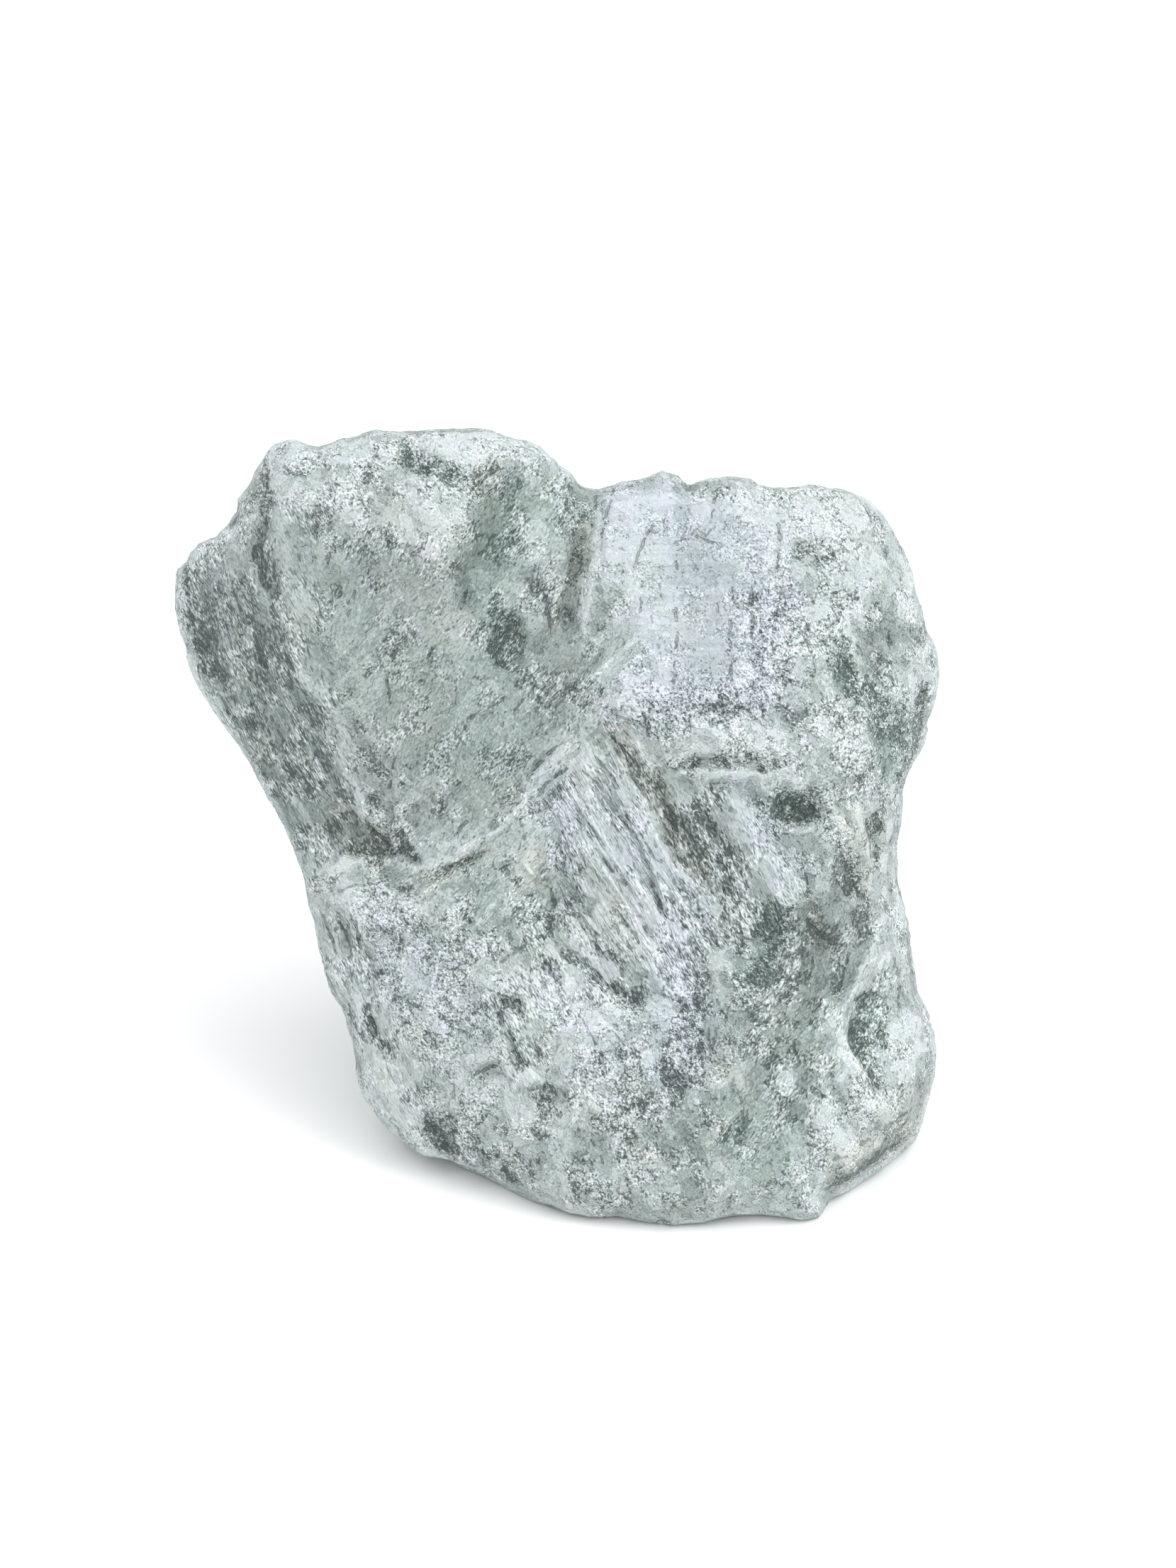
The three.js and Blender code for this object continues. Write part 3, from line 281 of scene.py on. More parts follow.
# how the colour and grain change over the worked front, painted light and shade among them: kind, amount, radius,
# points w chalky bruise, also painted highlight on lit ledge tops and crests; d dark, also painted shade in creases,
# pockets and under ledges; g smooth green, v violet-grey, b brown tint, also painted warm shade in the gully and pocket
# and painted warm bounce light under the lower right rim; s speckled, m smooth
PATCHES = [
    ("d", 0.45, 18, 350, 668, 345, 700, 326, 728), ("s", 0.5, 22, 352, 668, 340, 710), ("d", 0.6, 9, 374, 662, 376, 690, 368, 735), ("d", 0.4, 9, 368, 740, 360, 785),
    ("w", 0.8, 6, 300, 753, 328, 746, 350, 734, 368, 722), ("w", 0.8, 7, 265, 845, 268, 880), ("w", 0.8, 6, 266, 828, 275, 815), ("w", 0.7, 5, 278, 898), ("w", 0.6, 6, 294, 913),
    ("w", 0.4, 12, 305, 770, 310, 785), ("m", 0.7, 24, 320, 805, 340, 840), ("m", 0.7, 24, 430, 810, 440, 840), ("m", 0.8, 22, 470, 875, 500, 890), ("m", 0.7, 22, 340, 970, 370, 1000),
    ("d", 0.35, 12, 383, 850, 392, 880), ("d", 0.45, 7, 303, 935, 306, 955), ("d", 0.6, 5, 463, 736, 462, 756), ("d", 0.6, 5, 464, 776, 461, 794), ("d", 0.5, 6, 544, 752, 547, 770),
    ("d", 0.5, 9, 868, 1394, 884, 1412), ("d", 0.5, 7, 864, 1352, 876, 1368), ("d", 0.4, 10, 652, 1545, 650, 1575), ("d", 0.4, 7, 488, 1388, 492, 1420, 500, 1440),
    ("w", 0.7, 12, 506, 1262, 530, 1285), ("w", 0.6, 10, 722, 1368, 730, 1384), ("m", 0.7, 12, 722, 1368, 730, 1384), ("w", 0.9, 5, 703, 1466, 710, 1492, 724, 1522), ("w", 0.7, 6, 752, 1346, 776, 1340, 800, 1352),
    ("w", 0.8, 5, 937, 1389, 975, 1410), ("m", 0.8, 20, 1010, 1452, 1014, 1505), ("d", 0.2, 20, 1010, 1452, 1014, 1505), ("w", 0.8, 6, 1036, 1478, 1040, 1500),
    ("d", 0.35, 14, 916, 1650, 930, 1675), ("m", 0.7, 14, 916, 1650, 930, 1675), ("w", 0.8, 8, 908, 1638, 922, 1622), ("d", 0.55, 8, 1190, 1664, 1222, 1640, 1250, 1622), ("d", 0.4, 9, 1025, 1425, 1022, 1440),
    ("d", 0.75, 24, 572, 636, 610, 655, 650, 672, 676, 684), ("g", 0.7, 26, 572, 636, 610, 655, 650, 672),
    # painted shade, with brownish painted warm shade, down the diagonal gully at the upper left
    ("d", 0.5, 17, 695, 668, 677, 691, 668, 721, 655, 752, 645, 782), ("b", 0.8, 20, 695, 668, 677, 691, 668, 721, 655, 752, 640, 790),
    ("d", 0.28, 34, 712, 705, 706, 760, 706, 800), ("g", 0.9, 46, 702, 705, 695, 780, 700, 860),
    ("d", 0.36, 22, 742, 808, 756, 840), ("d", 0.3, 24, 716, 860, 722, 900, 708, 940), ("g", 0.8, 40, 712, 880, 720, 930),
    ("g", 0.8, 40, 770, 700, 795, 760), ("d", 0.2, 30, 780, 705, 800, 745), ("d", 0.25, 20, 780, 830, 775, 880),
    ("b", 0.8, 13, 825, 735, 816, 795, 809, 823, 799, 860, 778, 885), ("d", 0.25, 10, 823, 745, 816, 795, 809, 823, 799, 860),
    ("d", 0.42, 18, 857, 852, 886, 856), ("d", 0.4, 10, 917, 853, 941, 853), ("d", 0.45, 10, 926, 871, 938, 870),
    ("d", 0.4, 14, 950, 770, 985, 760, 1012, 768), ("d", 0.6, 13, 1130, 778, 1160, 776, 1178, 790), ("d", 0.45, 12, 1010, 700, 1002, 745),
    ("d", 0.35, 16, 905, 680, 880, 684), ("d", 0.4, 16, 948, 680, 960, 684), ("d", 0.3, 22, 1030, 680, 1070, 690),
    ("d", 0.2, 24, 1100, 820, 1140, 850),
    ("d", 0.12, 34, 960, 1000, 1010, 1000, 1060, 1005), ("s", 0.8, 44, 940, 990, 1010, 985, 1075, 980),
    ("s", 1.0, 38, 1082, 835, 1080, 950), ("v", 0.8, 60, 1075, 860, 1075, 980), ("v", 0.8, 60, 900, 985, 1000, 985), ("v", 0.7, 60, 920, 900, 1040, 930),
    ("d", 0.35, 9, 955, 1076, 1000, 1074, 1050, 1077, 1098, 1083), ("w", 0.8, 6, 955, 1091, 1010, 1090, 1060, 1093, 1112, 1094),
    ("d", 0.2, 10, 776, 1202, 788, 1230, 794, 1265), ("s", 0.5, 24, 780, 1130, 788, 1200, 800, 1250), ("d", 0.5, 7, 788, 1258, 776, 1290, 762, 1322),
    ("b", 0.9, 16, 755, 1205, 762, 1245), ("v", 0.7, 40, 775, 1115, 800, 1180),
    ("d", 0.5, 9, 860, 1026, 878, 1050, 895, 1074, 908, 1091), ("d", 0.62, 10, 925, 1108, 943, 1147, 952, 1174, 952, 1195, 960, 1213),
    ("b", 0.8, 22, 870, 1035, 900, 1080, 945, 1140, 960, 1200, 985, 1240), ("d", 0.4, 22, 975, 1165, 1000, 1210, 1015, 1245),
    ("s", 0.9, 34, 980, 1160, 1015, 1215, 1035, 1260), ("d", 0.6, 8, 1056, 1135, 1092, 1190, 1120, 1225, 1140, 1262),
    ("d", 0.75, 24, 1095, 1135, 1130, 1140, 1152, 1134), ("g", 0.9, 34, 1095, 1135, 1150, 1140), ("b", 0.4, 26, 1130, 1140),
    ("d", 0.65, 20, 1197, 1212, 1202, 1250), ("d", 0.7, 10, 1236, 1155, 1238, 1212), ("b", 0.6, 24, 1215, 1160, 1215, 1250),
    ("d", 0.55, 24, 1178, 1300, 1192, 1338), ("m", 0.8, 24, 1178, 1300, 1192, 1338), ("b", 0.6, 24, 1140, 1290, 1160, 1330),
    ("d", 0.65, 30, 1088, 1300, 1078, 1362), ("g", 1.0, 38, 1088, 1300, 1078, 1362), ("s", 0.7, 36, 1060, 1300, 1060, 1380),
    ("d", 0.9, 26, 1226, 1425, 1228, 1462, 1232, 1500), ("g", 1.0, 34, 1224, 1425, 1228, 1500), ("d", 0.6, 12, 1222, 1495, 1232, 1525),
    # painted shade and painted warm bounce light on the under-turned lower right rim
    ("d", 0.15, 22, 1300, 1590, 1255, 1642, 1190, 1685), ("m", 0.6, 30, 1305, 1560, 1258, 1625, 1195, 1675), ("b", 0.7, 34, 1300, 1570, 1255, 1610, 1200, 1655),
    ("s", 1.0, 34, 955, 1290, 972, 1400, 955, 1500), ("v", 0.9, 46, 950, 1300, 965, 1400, 950, 1500), ("d", 0.35, 28, 962, 1300, 972, 1350),
    ("d", 0.35, 18, 938, 1512, 962, 1530), ("d", 0.45, 14, 985, 1345, 990, 1400, 986, 1440), ("d", 0.3, 12, 875, 1400, 900, 1412),
    ("d", 0.75, 13, 521, 1425, 533, 1458, 549, 1488), ("d", 0.95, 24, 610, 1585, 622, 1628), ("d", 0.55, 18, 680, 1514, 702, 1508),
    ("d", 0.5, 17, 758, 1543, 786, 1546), ("d", 0.6, 18, 706, 1416, 734, 1414), ("d", 0.65, 11, 770, 1358, 783, 1380),
    ("d", 0.6, 14, 274, 806, 278, 860, 284, 912), ("d", 0.55, 11, 368, 655, 380, 705), ("d", 0.6, 11, 364, 778, 372, 802, 385, 835), ("d", 0.25, 8, 380, 705, 372, 775),
    # painted shade, with brownish painted warm shade, in the pocket above the left ledge
    ("d", 0.5, 20, 486, 1168, 506, 1182, 530, 1190), ("b", 0.8, 30, 480, 1160, 510, 1185, 540, 1195), ("d", 0.75, 11, 566, 1172, 578, 1208),
    ("d", 0.12, 16, 410, 955, 440, 1010, 468, 1075, 490, 1130), ("s", 0.8, 22, 264, 800, 270, 860, 280, 940),
    ("g", 0.9, 32, 1186, 915, 1202, 958), ("g", 1.0, 38, 1222, 968, 1250, 1020, 1268, 1062), ("d", 0.4, 26, 1186, 920, 1200, 955),
    ("d", 0.45, 28, 1225, 975, 1252, 1020, 1268, 1060), ("d", 0.8, 8, 1257, 888, 1259, 904), ("d", 0.7, 10, 1303, 965, 1298, 1040, 1287, 1088),
    ("d", 0.3, 26, 1230, 860, 1262, 880), ("d", 0.3, 20, 1120, 1015, 1165, 1005),
    # painted highlight on the lit top crest, over chalky white
    ("w", 1.0, 28, 640, 632, 685, 634), ("m", 0.8, 28, 640, 632, 685, 634), ("w", 0.6, 22, 400, 642, 470, 640, 540, 630, 600, 618),
    ("w", 0.5, 34, 585, 738, 612, 752), ("w", 0.4, 26, 745, 742, 768, 775), ("w", 0.4, 9, 742, 789, 799, 786),
    ("w", 0.6, 13, 840, 705, 831, 773, 828, 838, 821, 882), ("m", 0.6, 14, 840, 705, 831, 773, 828, 838, 821, 882),
    ("w", 0.35, 26, 880, 765, 884, 825), ("w", 0.5, 46, 1190, 722, 1225, 800, 1258, 850), ("w", 0.4, 36, 1150, 870, 1140, 945),
    ("w", 0.5, 30, 1140, 700, 1180, 760), ("w", 0.4, 40, 1180, 1010, 1210, 1060), ("w", 0.35, 30, 880, 960, 930, 950),
    # painted highlights along the lit tops of the ledge arms and of the edges below them
    ("w", 0.8, 9, 465, 1222, 505, 1209, 545, 1216, 590, 1233), ("w", 0.8, 9, 592, 1229, 640, 1207, 700, 1175, 750, 1119, 795, 1069),
    ("w", 0.9, 11, 743, 1106, 775, 1078, 804, 1054), ("w", 0.6, 11, 917, 889, 880, 921, 850, 943, 822, 980),
    ("w", 0.4, 11, 838, 1165, 870, 1215), ("w", 0.3, 26, 800, 1300, 860, 1345), ("w", 0.3, 14, 800, 1140, 840, 1210),
    ("w", 1.0, 16, 1042, 1148, 1078, 1200, 1118, 1258), ("v", 0.8, 30, 1050, 1120, 1080, 1180, 1115, 1230),
    ("w", 0.5, 18, 1165, 1120, 1200, 1165, 1225, 1195), ("w", 0.45, 18, 1265, 1120, 1262, 1200, 1270, 1300),
    ("w", 0.8, 22, 1212, 1552, 1248, 1560), ("w", 0.8, 24, 1168, 1592, 1192, 1616), ("w", 0.6, 14, 1102, 1502, 1116, 1532),
    ("w", 0.5, 32, 1272, 1450, 1292, 1500), ("w", 0.75, 9, 1243, 1304, 1226, 1348, 1207, 1389, 1194, 1416, 1182, 1450, 1195, 1490, 1215, 1525),
    ("w", 0.45, 28, 515, 1275, 590, 1275), ("w", 0.6, 26, 752, 1398, 812, 1440), ("w", 0.3, 42, 600, 1470, 660, 1520),
    ("w", 0.4, 14, 632, 1395, 655, 1440), ("w", 0.9, 10, 1034, 1508, 1050, 1540), ("m", 0.8, 12, 1034, 1508, 1050, 1540), ("b", 0.6, 14, 1030, 1508, 1054, 1542),
    ("w", 0.8, 9, 998, 1605, 1037, 1568), ("b", 0.6, 12, 998, 1605, 1037, 1568), ("b", 0.8, 12, 905, 1622, 930, 1636), ("w", 0.5, 11, 905, 1622, 930, 1636),
    ("w", 0.5, 11, 1018, 1358, 1049, 1377), ("w", 0.5, 20, 265, 775, 290, 790), ("w", 0.5, 12, 300, 755, 340, 738, 367, 724),
    ("w", 0.4, 20, 1100, 660, 1170, 690), ("w", 0.5, 24, 1010, 1660, 1100, 1700), ("w", 0.4, 30, 860, 1560, 900, 1640),
    ("v", 0.9, 52, 930, 720, 965, 780, 990, 860, 1000, 930), ("v", 0.8, 60, 1040, 740, 1070, 820), ("v", 0.5, 40, 880, 700, 870, 780),
    ("m", 0.7, 46, 930, 720, 965, 790, 990, 860, 1000, 930), ("m", 0.8, 30, 890, 700, 880, 740), ("m", 0.7, 30, 1080, 740, 1080, 820),
    ("v", 0.6, 56, 870, 1150, 930, 1270), ("m", 0.55, 60, 860, 1120, 910, 1230), ("v", 0.5, 60, 540, 1330, 640, 1420), ("v", 0.5, 50, 800, 1400, 860, 1470),
    ("g", 0.55, 90, 610, 960, 700, 1060), ("m", 0.8, 90, 620, 980, 700, 1060), ("m", 0.6, 80, 450, 800, 500, 900, 560, 1000), ("m", 0.6, 60, 560, 820, 640, 900), ("g", 0.5, 70, 470, 860, 520, 980), ("d", 0.2, 80, 600, 960, 680, 1050),
    ("g", 0.9, 22, 900, 893, 860, 925, 832, 960), ("m", 0.95, 22, 900, 893, 860, 925, 832, 960), ("d", 0.2, 22, 900, 893, 860, 925, 832, 960),
    ("m", 1.0, 24, 1045, 1150, 1080, 1200, 1118, 1258), ("g", 0.5, 40, 690, 1170, 740, 1190), ("m", 0.7, 36, 680, 1190, 740, 1180),
    ("g", 0.9, 60, 1050, 1590, 1090, 1630), ("m", 0.7, 60, 1050, 1590, 1090, 1630), ("d", 0.25, 60, 1050, 1590, 1090, 1640),
    ("g", 0.5, 80, 1110, 1420, 1130, 1520), ("d", 0.15, 70, 1100, 1420, 1130, 1520), ("b", 0.4, 40, 1130, 1380, 1110, 1430),
    ("b", 0.4, 44, 580, 830, 640, 890), ("b", 0.8, 14, 605, 1245, 640, 1225, 690, 1203), ("g", 0.6, 60, 660, 1250, 720, 1290),
    ("d", 0.15, 60, 450, 780, 560, 900), ("b", 0.3, 60, 560, 960, 520, 1040), ("b", 0.3, 22, 870, 1280, 860, 1300),
    ("s", 0.25, 90, 700, 1350, 800, 1600), ("s", 0.25, 70, 560, 1340, 620, 1440), ("s", 0.5, 60, 310, 840, 340, 920, 410, 1080),
    ("s", 0.15, 60, 470, 700, 560, 760), ("m", 0.25, 60, 420, 700, 500, 730, 560, 790), ("s", 0.5, 50, 1200, 1000, 1240, 1100), ("s", 0.5, 50, 860, 1500, 900, 1600),
    ("d", 0.5, 14, 480, 1294, 488, 1320, 502, 1338), ("d", 0.4, 10, 546, 1346), ("d", 0.45, 12, 645, 1336, 650, 1356), ("d", 0.5, 11, 693, 1347, 702, 1370),
    # painted shade under a ledge
    ("d", 0.7, 8, 797, 1338, 840, 1378, 880, 1415), ("d", 0.4, 14, 805, 1500, 812, 1512), ("v", 0.6, 24, 805, 1500, 812, 1512),
    ("m", 0.7, 26, 690, 1445, 650, 1500, 605, 1560), ("m", 0.6, 20, 782, 1470, 790, 1490), ("b", 0.3, 24, 782, 1475), ("m", 0.5, 22, 520, 1510, 560, 1560),
    ("m", 0.4, 60, 740, 700, 760, 850), ("s", 1.0, 44, 1068, 820, 1072, 930), ("s", 0.2, 46, 1150, 720, 1200, 800, 1180, 880), ("w", 0.5, 50, 1150, 720, 1200, 800, 1180, 880), ("m", 0.4, 60, 300, 850, 330, 930, 370, 1020),
    ("w", 0.3, 24, 845, 1365, 860, 1385), ("s", 0.5, 30, 375, 640, 420, 650), ("s", 0.5, 26, 300, 770, 268, 830), ("v", 0.5, 26, 380, 640, 410, 650), ("s", 0.4, 30, 560, 635, 520, 650),
    ("d", 0.3, 7, 366, 905, 378, 940), ("d", 0.35, 8, 404, 930, 418, 960, 432, 990), ("d", 0.5, 8, 326, 985, 345, 1022),
    ("d", 0.5, 8, 474, 1311), ("d", 0.5, 8, 528, 1371), ("d", 0.55, 8, 580, 1488), ("d", 0.5, 8, 631, 1443), ("d", 0.5, 6, 606, 1466, 616, 1480), ("d", 0.5, 7, 722, 1483, 738, 1508),
    ("d", 0.45, 9, 577, 1551), ("d", 0.5, 8, 840, 1471), ("d", 0.5, 10, 680, 1637), ("d", 0.5, 8, 714, 1660), ("d", 0.5, 9, 760, 1637), ("d", 0.45, 9, 805, 1671), ("d", 0.5, 10, 862, 1534), ("d", 0.5, 8, 842, 1580),
    ("d", 0.5, 7, 660, 1390, 668, 1400), ("d", 0.45, 8, 555, 1415), ("d", 0.45, 8, 610, 1330, 620, 1322), ("d", 0.5, 7, 655, 1560), ("d", 0.45, 7, 740, 1590, 750, 1600),
    ("m", 0.5, 40, 600, 1470, 670, 1520), ("m", 0.45, 60, 500, 1290, 600, 1340, 650, 1410), ("m", 0.5, 36, 740, 1400, 800, 1470, 830, 1530), ("s", 0.5, 26, 640, 1320, 652, 1350), ("s", 0.5, 30, 590, 1420, 600, 1450), ("s", 0.6, 30, 860, 1550, 870, 1600), ("s", 0.5, 34, 640, 1610, 700, 1650), ("s", 0.6, 26, 545, 1280, 560, 1300), ("s", 0.25, 40, 1170, 800, 1150, 900), ("g", 0.4, 60, 350, 1000, 390, 1100),
]
# faces with parallel marks: where the block's tool marks and the middle's cleavage steps lie
TOOL_FACE = [(862, 690), (905, 676), (950, 690), (1010, 695), (1120, 700), (1120, 800), (1096, 830), (1064, 850), (1068, 960), (1000, 975),
             (940, 972), (905, 900), (880, 860), (850, 800), (850, 740)]
CLEAVED_FACE = [(804, 1080), (835, 1050), (862, 1040), (900, 1090), (935, 1140), (950, 1195), (975, 1245), (1010, 1300), (960, 1370),
                (880, 1375), (830, 1330), (800, 1290), (830, 1270), (800, 1210), (765, 1140)]
# thin cracks and partings, drawn darker as painted shade, and thin lit edges, drawn lighter as painted highlights,
# beyond those of FINE: strength, points
CRACKS = [
    (0.95, 872, 1142, 890, 1172, 906, 1205, 918, 1232, 926, 1262), (0.9, 846, 1088, 862, 1112, 880, 1146), (0.8, 835, 1110, 856, 1146, 880, 1186, 900, 1222),
    (1.0, 944, 1130, 952, 1165, 956, 1200), (0.7, 812, 1148, 835, 1184, 858, 1220, 880, 1252), (0.95, 926, 1228, 944, 1258, 968, 1290), (0.9, 790, 1256, 812, 1290, 842, 1330, 878, 1376),
    (0.8, 700, 1362, 730, 1340, 764, 1318, 786, 1290),
    (1.0, 360, 898, 366, 918, 378, 942), (1.0, 401, 917, 408, 936, 420, 962, 432, 985, 444, 1010), (0.7, 342, 868, 355, 875, 370, 885, 385, 893, 390, 903), (0.7, 326, 972, 336, 996, 350, 1020),
    (0.6, 460, 958, 468, 985, 478, 1012), (0.95, 296, 858, 300, 900, 302, 935, 307, 957), (0.6, 300, 850, 305, 880, 308, 902), (0.7, 357, 758, 359, 786), (0.95, 362, 790, 368, 815, 378, 836), (0.7, 383, 800, 386, 826),
    (0.6, 425, 850, 427, 880), (0.7, 449, 882, 451, 899), (0.9, 466, 733, 462, 758), (0.9, 465, 774, 461, 796), (0.8, 545, 750, 547, 771), (0.7, 550, 733, 551, 760), (0.7, 372, 655, 376, 690), (0.6, 366, 700, 368, 740),
    (0.9, 1165, 1679, 1190, 1668, 1215, 1652, 1240, 1633, 1262, 1616), (0.7, 1200, 1652, 1225, 1634, 1252, 1618), (0.7, 992, 1440, 990, 1480, 992, 1520), (0.8, 1172, 1640, 1200, 1628),
    (0.8, 795, 1335, 820, 1352, 845, 1376, 868, 1400), (0.8, 1047, 1570, 1048, 1590), (0.7, 800, 1420, 806, 1436), (0.8, 664, 1446, 662, 1458), (0.7, 682, 1424, 692, 1436, 700, 1450), (0.7, 735, 1410, 738, 1422, 728, 1432),
    (0.85, 398, 920, 415, 950, 434, 992), (0.8, 364, 905, 372, 930, 380, 945), (0.8, 325, 985, 342, 1020, 360, 1050), (0.8, 425, 1045, 440, 1085, 462, 1120),
    (0.3, 955, 780, 955, 900, 953, 971), (0.62, 1035, 789, 1033, 860, 1030, 927), (0.9, 1060, 828, 1061, 862, 1060, 900), (0.5, 1099, 734, 1097, 780, 1096, 822),
    (0.6, 1008, 701, 1004, 725, 1002, 750), (0.45, 906, 800, 906, 850, 900, 880), (0.7, 1030, 930, 1034, 970), (0.7, 817, 1431, 838, 1468, 862, 1511),
    (0.8, 708, 1645, 718, 1672), (0.8, 800, 1655, 815, 1690), (0.7, 540, 1500, 556, 1530), (0.7, 600, 1452, 618, 1480), (0.6, 620, 1500, 640, 1530, 640, 1560),
    (0.8, 640, 1180, 655, 1163, 668, 1150), (0.7, 690, 1140, 705, 1128, 722, 1122), (0.4, 618, 1232, 640, 1220, 660, 1212, 682, 1204),
    (0.8, 640, 1290, 662, 1272, 672, 1258), (0.7, 652, 1296, 668, 1280), (0.7, 510, 1280, 530, 1262, 552, 1256), (0.6, 470, 1260, 500, 1250, 530, 1246),
    (0.8, 700, 1155, 715, 1140, 735, 1130), (0.7, 742, 1170, 735, 1195, 722, 1215), (0.7, 720, 1208, 712, 1222, 705, 1228),
    (0.9, 716, 1312, 722, 1328, 735, 1345), (0.8, 700, 1420, 712, 1450, 730, 1470), (0.8, 860, 1290, 885, 1330, 905, 1352),
    (0.6, 640, 880, 600, 930), (0.6, 560, 900, 545, 960, 555, 1010), (0.5, 500, 830, 488, 880), (0.6, 590, 1000, 560, 1060, 545, 1120),
    (0.5, 700, 980, 660, 1020, 640, 1060), (0.5, 760, 960, 720, 1010, 690, 1040), (0.5, 790, 990, 750, 1040), (0.6, 420, 780, 430, 830),
    (0.5, 640, 1090, 610, 1130), (0.5, 735, 1060, 700, 1095), (0.6, 500, 1090, 520, 1120), (0.5, 450, 850, 455, 900),
    (0.7, 330, 830, 345, 880), (0.7, 315, 870, 330, 920), (0.7, 350, 930, 372, 985), (0.6, 380, 1010, 400, 1050), (0.6, 300, 940, 320, 980),
    (0.7, 1135, 905, 1150, 930, 1146, 960), (0.7, 1200, 890, 1215, 915, 1220, 940), (0.6, 1160, 840, 1180, 835), (0.7, 1240, 945, 1262, 960),
    (0.6, 1090, 1440, 1100, 1480), (0.6, 1128, 1440, 1120, 1480, 1130, 1500), (0.7, 1200, 1330, 1190, 1380, 1175, 1410),
    (0.7, 1215, 1270, 1205, 1300, 1210, 1330), (0.6, 1150, 1350, 1140, 1390), (0.7, 1262, 1350, 1270, 1400, 1265, 1440),
    (0.6, 1010, 1450, 1000, 1500), (0.7, 1075, 1560, 1060, 1580, 1045, 1600), (0.6, 1125, 1630, 1135, 1650), (0.7, 1290, 1560, 1250, 1595, 1215, 1615),
    (0.7, 560, 1590, 580, 1612), (0.6, 660, 1600, 690, 1640), (0.6, 830, 1600, 850, 1640), (0.7, 870, 1460, 890, 1490), (0.6, 500, 1500, 515, 1530),
    (0.7, 980, 1330, 985, 1370, 978, 1410), (0.6, 600, 1350, 615, 1370), (0.6, 575, 1420, 590, 1450), (0.7, 840, 690, 838, 720, 836, 745),
    (0.6, 832, 790, 828, 830), (0.7, 818, 830, 812, 870), (0.6, 1010, 850, 1016, 872), (0.4, 1013, 812, 1019, 808),
    (0.8, 870, 1010, 900, 1020, 915, 1010), (0.8, 960, 1015, 985, 1005, 1000, 1012), (0.8, 1010, 985, 1040, 980, 1055, 990), (0.7, 930, 985, 950, 995),
]
EDGES = [
    (0.8, 838, 1082, 856, 1106, 874, 1140, 892, 1176, 908, 1212), (0.8, 796, 1262, 818, 1296, 848, 1336, 884, 1382), (0.7, 932, 1222, 952, 1252, 976, 1284), (0.6, 820, 1130, 845, 1168, 868, 1206),
    (0.9, 302, 752, 326, 745, 346, 733, 368, 722), (0.9, 660, 1314, 680, 1293, 702, 1268), (0.8, 725, 1353, 740, 1336), (0.8, 795, 1262, 815, 1283, 832, 1298), (0.95, 937, 1388, 958, 1399, 978, 1411),
    (0.8, 700, 1453, 703, 1475, 712, 1500, 725, 1523), (0.7, 996, 1606, 1016, 1588, 1040, 1566), (0.7, 1100, 1502, 1112, 1522, 1130, 1545), (0.7, 396, 912, 404, 935, 414, 962, 426, 986), (0.6, 355, 898, 361, 918, 372, 942),
    (0.7, 1240, 1350, 1222, 1385, 1204, 1430, 1195, 1465, 1208, 1500, 1222, 1530), (0.6, 335, 790, 352, 812, 360, 840),
    (0.8, 351, 862, 380, 885, 407, 912), (0.8, 408, 918, 436, 962, 466, 1013), (0.7, 306, 905, 320, 940, 333, 975), (0.7, 340, 960, 356, 1000, 378, 1040), (0.7, 292, 800, 306, 850, 312, 900),
    (0.7, 320, 800, 345, 835, 372, 858), (0.7, 420, 1040, 440, 1080, 470, 1130), (0.6, 385, 1060, 405, 1110, 425, 1150),
    (0.9, 917, 886, 880, 917, 850, 940, 822, 975), (1.0, 592, 1226, 640, 1203, 700, 1171, 750, 1117, 792, 1065), (0.7, 465, 1212, 505, 1203, 545, 1210, 590, 1228),
    (0.8, 1034, 1132, 1078, 1204, 1124, 1274), (0.7, 1128, 1276, 1140, 1262, 1130, 1240), (0.8, 835, 712, 826, 773, 823, 838, 816, 880),
    (0.6, 860, 1180, 890, 1230, 905, 1260), (0.6, 820, 1290, 850, 1325, 880, 1350), (0.7, 715, 1320, 740, 1355, 790, 1410),
    (0.7, 690, 1425, 706, 1448, 716, 1484, 734, 1520), (0.7, 1165, 1125, 1200, 1170), (0.6, 1090, 1335, 1110, 1370), (0.6, 1195, 1085, 1230, 1090),
    (0.6, 800, 1050, 770, 1085, 745, 1110), (0.7, 636, 668, 650, 664, 668, 668, 690, 655), (0.6, 905, 1360, 940, 1392, 975, 1412),
]
